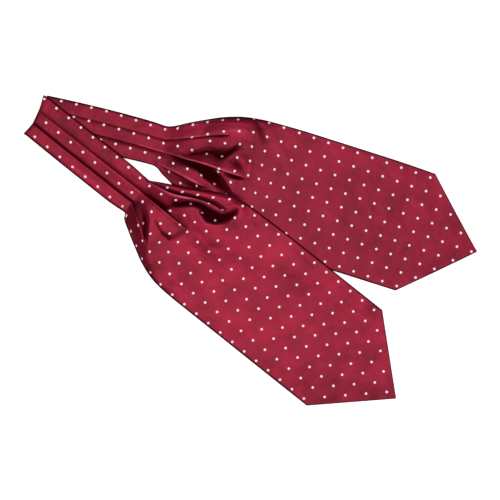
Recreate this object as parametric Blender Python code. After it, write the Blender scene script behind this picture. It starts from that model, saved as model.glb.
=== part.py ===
"""A pleated day cravat, folded in half at the neckband and laid flat.

Sizes are in millimetres and become metres where points are placed. Each half has its own line, which runs from
the stitches at the neckband's end to the blade's tip: s is measured along it and c across it, from edge A to
edge C. The pleats open at the stitches, so three fold lips, A, B and C, run out into the blade.
"""

import bpy
import bmesh
from math import cos, pi, radians, sin

import numpy as np
from mathutils import Vector

MM = 0.001

# The whole piece
NECK_FOLD_X = -299.4        # the outer edge of the neck fold
STITCH_X = -130.3           # both lines of stitches that hold the pleats

# The cloth
WALL = 2.2                  # a pressed double layer of satin with its turned edges
THINNEST = 1.65             # where a hollow presses it down
SEAM = 0.3                  # between two solids
EDGE_ROUND = 0.7
EDGE_UPPER, EDGE_MIDDLE = 0.85, 0.5
RIM_INSET = 3.0

# How one half lies over the other
LAY_BAND = 4.5              # underside of what lies on pleated cloth
LAY_BLADE = 2.6             # underside of what lies on a flat blade
LAY_FROM, LAY_TO = 105.0, 165.0
RAMP_FROM, RAMP_TO = 3.0, 48.0
COVER = 7.0

# The fold lips
TUCK = 1.3
TUCK_SHARE = 0.4            # of a lip's drop, where that is less than the tuck
LIP = 1.4
LIP_FRONT = 0.65            # shares of a lip's drop at its outermost line and in its pocket
LIP_POCKET = 0.12
LIP_OPEN = 1.5              # a smaller drop closes the pocket
NARROW = 8.0                # a band narrower than this has its insets scaled down
PLEAT = 17.0                # cloth hidden behind a lip at the stitches
PLEAT_OPEN = 95.0           # where the last of it has come out
HIDDEN = 2.5

# The neck fold
FOLD_RADIUS = 4.25          # from its axis to its outer side
FOLD_ROUNDS = 4             # that settle where a line meets the bowed axis

BAND_COLUMNS = 4            # points across a pleat band, between its lips

# Stations of the sections along each stretch
BAND_STEPS = 14
GATHER_STEP = 6.0
GATHER_TO = 126.0
BLADE_STEP = 20.0
TIP_PARTS = (0.2, 0.4, 0.6, 0.78, 0.92, 0.99)
NOSE_STEPS = 8

# The look of the plain solids
SATIN_ROUGHNESS = 0.38
SATIN_SHEEN = 0.3


def table(columns, rows):
    """Named columns of a list of rows."""
    return dict(zip(columns.split(), np.array(rows, float).T))


FRONT = dict(
    y=-30.3,
    turn=-11.3,
    side=1,
    skew=0.0,
    corner=345.2,
    tip=430.8,
    shape=table(
        "s     edge_a  lip_a  lip_b  lip_c  edge_c",
        [
            (-178, -27.0, -9.6, 8.2, 28.2, 29.4),
            (-90, -28.2, -10.4, 8.2, 27.2, 28.8),
            (-30, -28.4, -10.6, 8.3, 26.6, 28.4),
            (-12, -27.5, -10.5, 8.4, 25.5, 27.2),
            (0, -26.6, -10.4, 8.6, 24.4, 26.6),
            (2, -26.9, -11.2, 8.5, 24.7, 27.5),
            (3.8, -31.9, -12.3, 8.3, 25.2, 28.5),
            (10, -37.1, -16.0, 8.0, 26.6, 32.1),
            (20, -43.1, -21.3, 7.8, 28.6, 37.3),
            (30, -49.1, -27.6, 7.6, 30.6, 42.4),
            (40, -54.6, -35.0, 7.4, 34.0, 47.6),
            (46, -58.0, -39.8, 7.3, 37.0, 50.7),
            (52, -61.4, -47.5, 7.2, 40.0, 53.7),
            (62, -66.0, -58.5, 7.1, 44.8, 59.2),
            (75, -70.8, -65.8, 7.2, 50.0, 66.4),
            (90, -74.3, -69.2, 8.5, 53.8, 74.6),
            (105, -75.7, -69.6, 10.0, 55.0, 78.9),
            (125, -76.4, -68.0, 10.0, 55.5, 81.4),
            (185, -76.7, -60.0, 6.0, 56.0, 82.8),
            (345.2, -77.4, -55.0, 4.0, 56.0, 82.6),
            (430.8, 1.8, 2.2, 2.6, 3.0, 3.4),
        ],
    ),
    rise=table(
        "s   rim_a over_a under_a over_b under_b over_c under_c rim_c",
        [
            (-178, 3.2, 4.0, 1.5, 4.0, 2.0, 3.8, 3.8, 3.2),
            (-12, 3.2, 4.0, 1.3, 4.0, 2.0, 3.8, 3.8, 3.2),
            (0, 3.0, 4.0, 2.0, 4.0, 2.2, 4.0, 2.2, 2.0),
            (12, 2.4, 9.2, 3.6, 6.4, 3.2, 5.4, 2.8, 2.2),
            (22, 2.2, 11.8, 4.4, 8.6, 3.6, 7.0, 3.2, 2.2),
            (32, 2.2, 11.8, 5.4, 9.8, 3.8, 8.4, 3.4, 2.2),
            (40, 2.2, 10.6, 7.0, 9.9, 4.0, 8.8, 3.6, 2.2),
            (50, 2.2, 8.6, 8.4, 9.4, 4.4, 9.2, 3.8, 2.2),
            (62, 2.2, 6.6, 6.6, 8.2, 4.8, 9.4, 4.0, 2.2),
            (75, 2.2, 4.6, 4.6, 7.0, 5.4, 9.4, 4.2, 2.2),
            (84, 2.2, 3.6, 3.6, 6.4, 6.2, 9.2, 4.4, 2.2),
            (97, 2.2, 2.9, 2.9, 6.2, 6.2, 8.4, 4.6, 2.2),
            (105, 2.2, 2.8, 2.8, 6.1, 6.1, 6.4, 5.6, 2.2),
            (115, 2.2, 2.6, 2.6, 5.8, 5.8, 5.4, 5.4, 2.2),
            (130, 2.2, 2.4, 2.4, 5.0, 5.0, 4.4, 4.4, 2.2),
            (150, 2.2, 2.3, 2.3, 3.8, 3.8, 3.2, 3.2, 2.2),
            (175, 2.2, 2.2, 2.2, 2.8, 2.8, 2.4, 2.4, 2.2),
            (205, 2.2, 2.2, 2.2, 2.2, 2.2, 2.2, 2.2, 2.2),
            (430.8, 2.2, 2.2, 2.2, 2.2, 2.2, 2.2, 2.2, 2.2),
        ],
    ),
    folds=[
        # name                  s0   c0     s1   c1   bow  height  wide
        ("hollow round B", 42.0, 15.0, 98.0, 40.0, 9.0, -4.5, 6.5),
        ("hollow's far end", 96.0, 40.0, 116.0, 60.0, 0.0, -3.6, 6.0),
        ("tongue in the hollow", 56.0, 19.0, 82.0, 24.0, 0.0, 3.0, 9.0),
        ("puff beside A", 8.0, 0.0, 40.0, -20.0, 6.0, 1.8, 7.0),
        ("crease under the puff", 40.0, -10.0, 77.0, 4.0, -12.0, -1.4, 5.0),
    ],
)

BACK = dict(
    y=44.4,
    turn=9.4,
    side=-1,
    skew=-0.0225,
    corner=350.7,
    tip=434.8,
    shape=table(
        "s     edge_a  lip_a  lip_b  lip_c  edge_c",
        [
            (-178, -17.0, 0.6, 17.6, 38.0, 39.2),
            (-150, -19.5, -1.2, 15.9, 36.2, 37.6),
            (-110, -22.5, -3.6, 13.5, 34.0, 35.4),
            (-67, -24.9, -6.0, 11.0, 31.2, 32.8),
            (-20, -26.2, -7.6, 9.4, 27.4, 29.2),
            (-5, -25.8, -7.8, 9.2, 26.6, 28.6),
            (0, -26.6, -7.9, 9.1, 26.0, 29.6),
            (10, -31.1, -10.2, 8.8, 26.8, 35.7),
            (20, -37.1, -13.8, 8.4, 28.3, 41.0),
            (30, -42.7, -18.4, 8.6, 29.9, 46.5),
            (40, -47.9, -23.2, 8.4, 32.0, 51.5),
            (50, -53.0, -27.8, 7.8, 34.2, 57.0),
            (60, -57.9, -32.4, 7.9, 35.2, 62.5),
            (75, -63.8, -37.6, 8.4, 35.8, 70.5),
            (90, -68.3, -41.0, 8.7, 37.0, 78.5),
            (105, -71.1, -43.5, 8.8, 40.0, 84.0),
            (125, -73.0, -45.0, 7.5, 43.0, 87.0),
            (185, -74.6, -45.5, 6.5, 48.0, 89.0),
            (280, -74.5, -45.2, 7.5, 56.0, 89.0),
            (350.7, -73.0, -45.0, 8.5, 62.0, 89.0),
            (434.8, 7.2, 7.6, 8.0, 8.4, 8.8),
        ],
    ),
    rise=table(
        "s   rim_a over_a under_a over_b under_b over_c under_c rim_c",
        [
            (-178, 3.2, 4.0, 2.2, 4.0, 2.0, 3.8, 3.8, 3.2),
            (-12, 3.2, 4.0, 2.2, 4.0, 2.0, 3.8, 3.8, 3.2),
            (0, 3.0, 4.0, 2.2, 4.0, 2.2, 4.0, 2.2, 2.0),
            (12, 2.6, 5.6, 4.2, 5.6, 2.8, 4.8, 2.3, 2.2),
            (25, 2.4, 7.8, 6.0, 8.2, 3.0, 6.0, 2.3, 2.2),
            (40, 2.4, 9.2, 7.4, 10.6, 3.2, 7.0, 2.3, 2.2),
            (55, 2.4, 9.6, 8.0, 11.6, 3.2, 7.0, 2.3, 2.2),
            (68, 2.4, 9.2, 7.4, 11.6, 4.2, 5.4, 2.3, 2.2),
            (80, 2.4, 8.4, 7.6, 10.8, 6.6, 3.8, 2.3, 2.2),
            (92, 2.3, 7.2, 7.2, 9.4, 5.2, 2.8, 2.3, 2.2),
            (105, 2.2, 5.8, 5.8, 7.6, 5.0, 2.4, 2.3, 2.2),
            (118, 2.2, 4.2, 4.2, 5.0, 4.6, 2.3, 2.3, 2.2),
            (135, 2.2, 2.9, 2.9, 3.3, 3.3, 2.2, 2.2, 2.2),
            (165, 2.2, 2.2, 2.2, 2.2, 2.2, 2.2, 2.2, 2.2),
            (434.8, 2.2, 2.2, 2.2, 2.2, 2.2, 2.2, 2.2, 2.2),
        ],
    ),
    folds=[
        # name                  s0   c0     s1   c1   bow  height  wide
        ("valley off A", 52.0, -8.0, 95.0, -26.0, -6.0, -3.2, 6.0),
        ("valley's floor", 34.0, 5.0, 74.0, -4.0, -4.0, -2.2, 6.0),
        ("rise past A", 92.0, -42.0, 108.0, -8.0, 0.0, 1.4, 10.0),
        ("small hollow", 92.0, -9.0, 108.0, -3.0, 0.0, -1.4, 4.0),
        ("roll under edge A", 40.0, -42.0, 112.0, -58.0, -6.0, 2.0, 9.0),
    ],
)

# Where the neck fold turns, as insets from its outermost line
FOLD_LINE = table("y inset", [(-24.0, 0.0), (-5.0, 4.2), (12.0, 3.6), (34.0, 0.0)])


def glide(x, xs, ys):
    """A smooth curve through a table's rows, with no overshoot between them."""
    steps = np.diff(xs)
    rates = np.diff(ys) / steps
    slopes = np.zeros(len(xs))
    slopes[0] = rates[0]
    slopes[-1] = rates[-1]
    for i in range(1, len(xs) - 1):
        before, after = rates[i - 1], rates[i]
        if before * after > 0:
            slopes[i] = 2 * before * after / (before + after)
    i = int(np.clip(np.searchsorted(xs, x) - 1, 0, len(steps) - 1))
    t = min(max((x - xs[i]) / steps[i], 0.0), 1.0)
    rise = steps[i] * (t * (1 - t) ** 2 * slopes[i] - t * t * (1 - t) * slopes[i + 1])
    return ys[i] + (ys[i + 1] - ys[i]) * t * t * (3 - 2 * t) + rise


def read(rows, column, s):
    return glide(s, rows["s"], rows[column])


def ease(t):
    t = min(max(t, 0.0), 1.0)
    return t * t * (3 - 2 * t)


def to_flat(half, s, c):
    """The place on the table of a point of a half, in millimetres."""
    a = radians(half["turn"])
    across = half["side"] * c
    x = STITCH_X + s * cos(a) - across * sin(a)
    y = half["y"] + s * sin(a) + across * cos(a)
    return x, y


def to_half(half, x, y):
    """The station and the place across it of a point on the table."""
    a = radians(half["turn"])
    dx, dy = x - STITCH_X, y - half["y"]
    s = dx * cos(a) + dy * sin(a)
    across = dy * cos(a) - dx * sin(a)
    return s, half["side"] * across


def edge(half, name, s):
    """An outline edge, straight from the blade's corner to its tip."""
    rows = half["shape"]
    if s > half["corner"]:
        t = min((s - half["corner"]) / (half["tip"] - half["corner"]), 1.0)
        start, end = read(rows, name, half["corner"]), rows[name][-1]
        return start + (end - start) * t
    return read(rows, name, s)


def outside(half, x, y):
    """How far a point on the table lies outside a half, negative inside."""
    s, c = to_half(half, x, y)
    return max(edge(half, "edge_a", s) - c, c - edge(half, "edge_c", s), s - half["tip"])


def lift(half, x, y):
    """The height of a half's underside: nothing, or the back half's top with room for a seam."""
    if half is BACK:
        return 0.0
    s, _ = to_half(BACK, x, y)
    height = LAY_BAND + (LAY_BLADE - LAY_BAND) * ease((s - LAY_FROM) / (LAY_TO - LAY_FROM))
    return height * (1 - ease((outside(BACK, x, y) - RAMP_FROM) / (RAMP_TO - RAMP_FROM)))


def fold_height(half, s, c):
    """The soft ridges and hollows of the gathered cloth at a point."""
    height = 0.0
    for _, s0, c0, s1, c1, bow, tall, wide in half["folds"]:
        length = np.hypot(s1 - s0, c1 - c0)
        along = ((s - s0) * (s1 - s0) + (c - c0) * (c1 - c0)) / length ** 2
        aside = ((s1 - s0) * (c - c0) - (c1 - c0) * (s - s0)) / length
        t = min(max(along, 0.0), 1.0)
        off = aside - bow * 4 * t * (1 - t)
        past = (along - t) * length
        height += tall * np.exp(-(off ** 2 + past ** 2) / wide ** 2)
    return height


def covered(half, x, y, z):
    """A height of the back half, kept under the front half where that lies on it."""
    if half is FRONT:
        return z
    s, _ = to_half(BACK, x, y)
    room = LAY_BAND + (LAY_BLADE - LAY_BAND) * ease((s - LAY_FROM) / (LAY_TO - LAY_FROM)) - SEAM
    under = ease((COVER - outside(FRONT, x, y)) / COVER)
    return z + (min(z, room) - z) * under


def cloth_top(half, s, lips):
    """The upper side of a section, from edge A to edge C: c, and the height above what it lies on."""
    rise = {name: read(half["rise"], name, s) for name in half["rise"] if name != "s"}
    left, low, inset = edge(half, "edge_a", s), rise["rim_a"], RIM_INSET
    points = []
    for name in lips + " ":
        last = name == " "
        right = edge(half, "edge_c" if last else "lip_" + name, s)
        high = rise["rim_c"] if last else rise["over_" + name]
        tight = min(1.0, (right - left) / NARROW)
        start = left + inset * tight
        stop = right - (RIM_INSET if last else LIP) * tight
        for part in np.linspace(0, 1, BAND_COLUMNS + 1):
            points.append((start + (stop - start) * part, low + (high - low) * part, True))
        if last:
            break
        under = rise["under_" + name]
        drop = high - under
        back = (LIP / 2 + min(TUCK, TUCK_SHARE * drop)) * ease(drop / LIP_OPEN) - LIP / 2
        points.append((right, under + LIP_FRONT * drop, True))
        points.append((right - back * tight, under + LIP_POCKET * drop, False))
        left, low, inset = right, under, LIP
    return points


def ring(half, lips, s, spot):
    """One closed section, as points in millimetres: over the cloth from edge A to edge C, then back under it."""
    upper, lower = [], []
    tops = cloth_top(half, s, lips)
    for c, z, _ in tops:
        x, y = to_flat(half, spot(c), c)
        z = max(z + (fold_height(half, s, c) if s > 0 else 0.0), THINNEST)
        upper.append((x, y, covered(half, x, y, lift(half, x, y) + z)))
    reach = HIDDEN + PLEAT * max(0.0, 1 - max(s, 0.0) / PLEAT_OPEN)
    for (c, _, under), (x, y, _) in zip(tops, upper):
        if under:
            near = min(point[2] for point, top in zip(upper, tops) if abs(top[0] - c) <= reach)
            lower.append((x, y, max(lift(half, x, y), near - WALL)))
    first, final = tops[0][0], tops[-1][0]
    side_c = side(half, edge(half, "edge_c", s), final, spot, upper[-1][2], lower[-1][2])
    side_a = side(half, edge(half, "edge_a", s), first, spot, upper[0][2], lower[0][2])
    return upper + side_c + lower[::-1] + side_a[::-1]


def side(half, rim, inner, spot, top, base):
    """The rounded edge of a section, from its upper side down to its underside."""
    room = min(EDGE_ROUND / abs(rim - inner), 0.5)
    points = []
    for inset, part in ((room, EDGE_UPPER), (0.0, EDGE_MIDDLE), (room, 0.0)):
        c = rim + (inner - rim) * inset
        x, y = to_flat(half, spot(c), c)
        points.append((x, y, base + (top - base) * part))
    return points


def fold_station(half, c, gap):
    """Where a line across a neckband meets the neck fold's axis, which bows a little along Y."""
    a = radians(half["turn"])
    s = half["shape"]["s"][0]
    for _ in range(FOLD_ROUNDS):
        _, y = to_flat(half, s, c)
        x = NECK_FOLD_X + FOLD_RADIUS + glide(y, FOLD_LINE["y"], FOLD_LINE["inset"]) + gap
        s = (x - STITCH_X + half["side"] * c * sin(a)) / cos(a)
    return s


def band_rings(half, gap):
    """Sections of a neckband from its stitches to the neck fold."""
    far = half["shape"]["s"][0]
    rings = []
    for part in np.linspace(0, 1, BAND_STEPS + 1):
        rings.append(ring(half, "ab", part * far, lambda c: -SEAM / 2 * (1 - part) + fold_station(half, c, gap) * part))
    return rings


def nose_rings(last):
    """The neck fold: the front neckband's last section, turned down and under about the fold's axis."""
    uppers = 3 * (BAND_COLUMNS + 1) + 4
    tucked = (BAND_COLUMNS + 2, 2 * BAND_COLUMNS + 5)
    rings = []
    for i in range(1, NOSE_STEPS + 1):
        turn = pi * i / NOSE_STEPS
        flatten = ease(2 * i / NOSE_STEPS)
        points = []
        for k, (x, y, z) in enumerate(last):
            reach = z - FOLD_RADIUS
            if k < uppers:
                reach += (FOLD_RADIUS - reach) * flatten
            if k in tucked:
                x += (0.5 * (last[k - 1][0] + last[k + 1][0]) - x) * flatten
                y += (0.5 * (last[k - 1][1] + last[k + 1][1]) - y) * flatten
            points.append((x - reach * sin(turn), y, FOLD_RADIUS + reach * cos(turn)))
        rings.append(points)
    return rings


def blade_rings(half):
    """Sections of a blade from the stitches to its tip."""
    corner, tip = half["corner"], half["tip"]
    stations = list(np.arange(SEAM / 2, GATHER_TO, GATHER_STEP))
    stations += list(np.linspace(GATHER_TO, corner, round((corner - GATHER_TO) / BLADE_STEP) + 1))
    stations += [corner + (tip - corner) * part for part in TIP_PARTS]
    rings = []
    for s in stations:
        skew = half["skew"] * ease((s - GATHER_TO) / (corner - GATHER_TO)) if s <= corner else half["skew"] * (
            (tip - s) / (tip - corner)
        )
        rings.append(ring(half, "abc", s, lambda c, s=s, skew=skew: s + skew * c))
    return rings


def cap(bm, loop, lips, tucked):
    """The flat end of a body, as strips between the upper side and the underside, round any tucked lips."""
    per_band = BAND_COLUMNS + 1
    uppers = (lips + 1) * per_band + 2 * lips
    lowers = uppers - lips
    upper = loop[:uppers]
    side_c = loop[uppers : uppers + 3]
    lower = loop[uppers + 3 : uppers + 3 + lowers][::-1]
    side_a = loop[uppers + 3 + lowers :]
    k, j = 0, 0
    for band in range(lips + 1):
        for _ in range(BAND_COLUMNS):
            bm.faces.new((upper[k], upper[k + 1], lower[j + 1], lower[j]))
            k, j = k + 1, j + 1
        if band < lips:
            under = upper[k + 2] if tucked else upper[k + 1]
            bm.faces.new((upper[k], under, lower[j + 1], lower[j]))
            bm.faces.new((upper[k], upper[k + 1], under) if tucked else (under, upper[k + 2], lower[j + 1]))
            bm.faces.new((upper[k + 2], upper[k + 3], lower[j + 2], lower[j + 1]))
            k, j = k + 3, j + 2
    bm.faces.new((upper[-1], *side_c, lower[-1]))
    bm.faces.new((*side_a, upper[0], lower[0]))


def loft(name, rings, lips, flat_end, material, collection):
    """One closed body through rings of equal counts, whose lips have closed at a flat end."""
    bm = bmesh.new()
    loops = [[bm.verts.new(Vector(point) * MM) for point in points] for points in rings]
    count = len(loops[0])
    for near, far in zip(loops, loops[1:]):
        for i in range(count):
            j = (i + 1) % count
            bm.faces.new((near[i], near[j], far[j], far[i]))
    cap(bm, loops[0], lips, True)
    cap(bm, loops[-1], lips, not flat_end)
    bmesh.ops.recalc_face_normals(bm, faces=bm.faces)
    bmesh.ops.triangulate(bm, faces=bm.faces, quad_method="BEAUTY", ngon_method="EAR_CLIP")
    mesh = bpy.data.meshes.new(name)
    bm.to_mesh(mesh)
    bm.free()
    mesh.materials.append(material)
    mesh.shade_smooth()
    mesh.set_sharp_from_angle(angle=radians(40))
    collection.objects.link(bpy.data.objects.new(name, mesh))


def satin(name, color):
    material = bpy.data.materials.new(name)
    material.use_nodes = True
    shader = material.node_tree.nodes["Principled BSDF"]
    shader.inputs["Base Color"].default_value = (*color, 1.0)
    shader.inputs["Roughness"].default_value = SATIN_ROUGHNESS
    shader.inputs["Metallic"].default_value = 0.0
    shader.inputs["Sheen Weight"].default_value = SATIN_SHEEN
    return material


def main():
    for item in list(bpy.data.objects):
        bpy.data.objects.remove(item, do_unlink=True)
    cravat = bpy.data.collections.new("day_cravat")
    bpy.context.scene.collection.children.link(cravat)
    front_band = band_rings(FRONT, 0.0)
    front_band += nose_rings(front_band[-1])
    for name, rings, lips, flat_end, color in (
        ("front_blade", blade_rings(FRONT), 3, True, (0.35, 0.022, 0.048)),
        ("back_blade", blade_rings(BACK), 3, True, (0.28, 0.017, 0.04)),
        ("front_neckband", front_band, 2, True, (0.32, 0.02, 0.045)),
        ("back_neckband", band_rings(BACK, SEAM), 2, False, (0.26, 0.016, 0.038)),
    ):
        loft(name, rings, lips, flat_end, satin(name + "_satin", color), cravat)


main()
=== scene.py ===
"""The looks of a pleated day cravat in dotted satin, folded at the neckband and laid flat.

Sizes are in millimetres and become metres where points are placed. Each half has its own line from the
stitches at the neckband's end to the blade's tip: s is measured along it and c across it, from edge A to
edge C. Three fold lips, A, B and C, run out of the stitches into the blade. They part the cloth into the
bands a, b, c and d.

What each half holds:
y, turn   where its line starts on the stitches, and the angle at which it runs
side      which way c is measured
skew      how far the threads across the blade lean
corner    the station at which the blade starts to narrow to its tip
tip       the station of the tip
shape     where the edges and the lips lie across it
rise      how high the cloth is at its rims, on each lip and just under each lip
net       the fold lines inside each band, each with its place across and its height
lip_ends  the station at which each lip has run out into the blade
rows      the cloth's own rows of dots where it meets the edges and the lips
columns   where the cloth's own columns of dots lie, at five rows from edge A to edge C
lattice   one dot of the flat blade's straight grid, the steps to the next column and row, and its row
valleys   the fold line of a band that gets points close together
painted_light_and_shade  soft patches of painted light and painted shade on the satin: s, c, reach along,
reach across, amount
shine     painted highlights along crests of folds, and painted shade along edge A: lines of points s, c, amount, reach
shade     deep shade in folds and along edges: lines of points s, c, amount, reach
pits      hollows with a flat floor: lines of points s, c, bottom height, side slope, flat reach
folds     soft ridges and troughs: lines of points s, c, height, width
"""

from functools import partial
from math import cos, pi, radians, sin

import bmesh
import bpy
import numpy as np
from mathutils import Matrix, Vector


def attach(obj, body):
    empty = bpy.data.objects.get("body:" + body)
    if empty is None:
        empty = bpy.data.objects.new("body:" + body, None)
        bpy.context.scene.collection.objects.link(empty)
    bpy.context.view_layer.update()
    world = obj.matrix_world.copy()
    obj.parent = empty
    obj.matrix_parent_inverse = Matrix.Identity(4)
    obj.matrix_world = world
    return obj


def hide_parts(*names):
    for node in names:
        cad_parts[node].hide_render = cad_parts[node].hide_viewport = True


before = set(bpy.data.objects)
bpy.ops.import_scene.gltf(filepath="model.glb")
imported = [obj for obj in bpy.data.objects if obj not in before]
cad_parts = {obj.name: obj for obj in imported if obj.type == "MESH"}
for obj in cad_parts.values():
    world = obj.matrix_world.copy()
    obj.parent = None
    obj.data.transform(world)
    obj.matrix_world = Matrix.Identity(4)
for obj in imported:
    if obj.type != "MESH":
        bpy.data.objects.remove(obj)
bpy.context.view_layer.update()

MM = 0.001

# The whole piece
NECK_FOLD_X = -299.4        # the outer edge of the neck fold
STITCH_X = -130.3           # both lines of stitches that hold the pleats
ARM_START = -12.0           # where the neckband's folds begin to open, just before the stitches
FOLD_RADIUS = 4.25
FOLD_FLATTEN = 0.94         # how much of the pleats' relief is gone round the neck fold

# The cloth
WALL = 2.2                  # a pressed double layer of satin with its turned edges
WALL_REACH = 2.0            # how far across the underside looks for the lowest cloth above it
THIN = 1.65                 # the least height of the upper side
EDGE_ROUND = 1.1            # how far the round of a pressed edge reaches
LIP_ROUND = 0.75            # the radius of a lip that stands free
LIP_SHARE = 0.38            # the most of a lip's drop that its round takes
TUCK = 5.0                  # how far a pocket under a lip is modelled
TUCK_SHARE = 0.3            # the most of a band's width that its pocket takes
TUCK_DROP = 2.2             # the drop at which a pocket is fully open
POCKET_ROOF = 0.12          # how far an open pocket's roof stays above its floor
POCKET_FLOOR = 0.1          # how far its roof and floor each give way
SEAM = 0.3                  # the gap between two pieces
LIP_FADE = 5.0              # the length over which a lip runs out into the blade
CARRY = 6.0                 # how far across a closed lip's step is carried into the next band
LINE_GAP = 0.05             # the least distance between two fold lines
NARROW = 20.0               # where the tip is narrower than this, its rounds shrink with it

# How the front half lies over the back half
LAY_BAND = 4.5              # its height on the back neckband and on the gather
LAY_BLADE = 2.6             # its height on the back blade
LAY_FROM, LAY_TO = 105.0, 165.0     # the back half's stations between which that height changes
RAMP_FROM, RAMP_TO = 3.0, 48.0      # how far beside the back half it starts to come down, and is down
COVER = 7.0                 # how far beside the front half the back half still keeps under it

# Where the blades have spread, and where their dots become a straight lattice
GATHER_TO = 126.0
LATTICE_FROM, LATTICE_TO = 82.0, 116.0

# The sections of a blade: how far apart in the gather, how many to the corner, and the parts of its tip
GATHER_STEP = 1.5
BLADE_STEPS = 50
TIP_STEPS = (0.1, 0.2, 0.3, 0.4, 0.5, 0.6, 0.7, 0.79, 0.87, 0.94, 0.985, 1.0)

# The slight unevenness of the blades: its height, where it starts, and how its waves run and wander
RIPPLE = 0.16
RIPPLE_FROM, RIPPLE_TO = 30.0, 90.0
WAVE_S, WANDER_S, WANDER_OVER_C = 13.0, 1.7, 21.0
WAVE_C, WANDER_C, WANDER_OVER_S = 11.0, 1.1, 29.0

# The sides of troughs and pits
TROUGH = (1.25, 1.3), (0.25, 6.5)   # amount and rate of fading: its soft side, and what rounds its bottom
PIT_SPAN = 25.0             # how far before and after its line a pit can reach
PIT_DISH = 0.05             # the slight slope of a pit's floor

# The dots' own pitch on the flat cloth, and the radii at which a dot starts to fade and ends
COLUMN_PITCH = 20.0
ROW_PITCH = 18.6
DOT_FULL, DOT_END = 1.30, 1.92

# Points across each band of a blade and of a neckband, in a valley, and round lips, pockets and edges
BAND_POINTS = dict(a=26, b=66, c=46, d=26)
ARM_POINTS = dict(a=20, b=22, c=22)
VALLEY_SPOTS = np.array([-0.22, 0.0, 0.22])
ROLL = 6
POCKET = 4
EDGE_POINTS = 6
UNDER_POINTS = 22           # on each side of the underside's centre
SMOOTH = 2                  # the points on each side over which the underside is evened out
SETTLE = 4                  # the rounds in which a station on the bowed neck fold settles

# The line at which each band starts, and the offsets and shares by which its folds are rounded over
LEFT_LINE = dict(a="edge_a", b="lip_a", c="lip_b", d="lip_c")
ROUNDING = ((-1.4, 1 / 9), (-0.7, 2 / 9), (0.0, 3 / 9), (0.7, 2 / 9), (1.4, 1 / 9))

# Shade in the folds, by how far the cloth lies below its neighbours, and on the rim
SHADE_REACH, SHADE_NEAR = 20.0, 0.2     # how far off cloth counts, and how near it counts on both sides
SHADE_FROM, SHADE_FULL = 0.5, 3.6
RIM_SHADE, RIM_REACH = 0.8, 0.8

# The satin's colours
SATIN_DARK = (0.090, 0.0024, 0.0090, 1.0)
SATIN_LIGHT = (0.246, 0.0082, 0.0285, 1.0)
# the colour of the painted highlight on crests
PAINTED_HIGHLIGHT = (0.55, 0.10, 0.18, 1.0)
# painted shade for the pieces whose satin is turned from the light
SATIN_NAP_SHADE = (0.075, 0.002, 0.009, 1.0)
# painted shade: the colour where a fold gets no light
PAINTED_FOLD_SHADE = (0.058, 0.0006, 0.0045, 1.0)
DOT_WHITE = (0.99, 0.74, 0.81, 1.0)
SHEEN_TINT = (0.8, 0.25, 0.35, 1.0)
FLOOR_WHITE = (0.86, 0.86, 0.86, 1.0)
WHITE = (1.0, 1.0, 1.0, 1.0)

# The satin's finish, and its painted light and shade
MOTTLE_SCALE, MOTTLE, MOTTLE_LOW = 22.0, 1.9, -0.45     # soft patches: their scale, strength and offset
# how fast the painted highlight on a crest brightens past the light satin
CREST_LIGHT = 0.55          # how fast a crest brightens past the light satin
OPEN_REACH = 0.018          # in metres, how far off other cloth still takes light away
OPEN_NONE, OPEN_FULL = 0.36, 0.80   # how open a spot is when it is fully dark and fully lit
DOT_LEAST = 0.6             # the light that a dot keeps in a deep fold
SATIN_METAL, DOT_METAL, DEEP_METAL = 0.45, 0.05, 1.3
SATIN_ROUGH, MOTTLE_ROUGH, DOT_ROUGH, DEEP_ROUGH = 0.36, 0.10, 0.3, 0.5
LIE_SCALE, LIE_DEPTH = 34.0, 0.0018
WEAVE_SCALE, WEAVE_DEPTH, WEAVE_STRENGTH = (18.0, 260.0, 1.0), 0.0004, 0.16

# The camera and the light, in metres
CENTRE = (0.034, -0.0256)
VIEW_WIDTH = 0.655
VIEW_TURN = 27.0
LENS, SENSOR = 85.0, 36.0
CLOTH_TOP = 0.004           # the height at which the view is that wide
SOFTBOX_SIZE, SOFTBOX_HEIGHT, SOFTBOX_WATTS = 3.0, 4.0, 136.0
ROOM_LIGHT = 0.23
FLOOR_GLOW = 0.5
FLOOR_HALF, FLOOR_DROP = 4.0, 0.0004


def table(columns, rows):
    """Named columns of a list of rows."""
    return dict(zip(columns.split(), np.array(rows, float).T))


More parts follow.
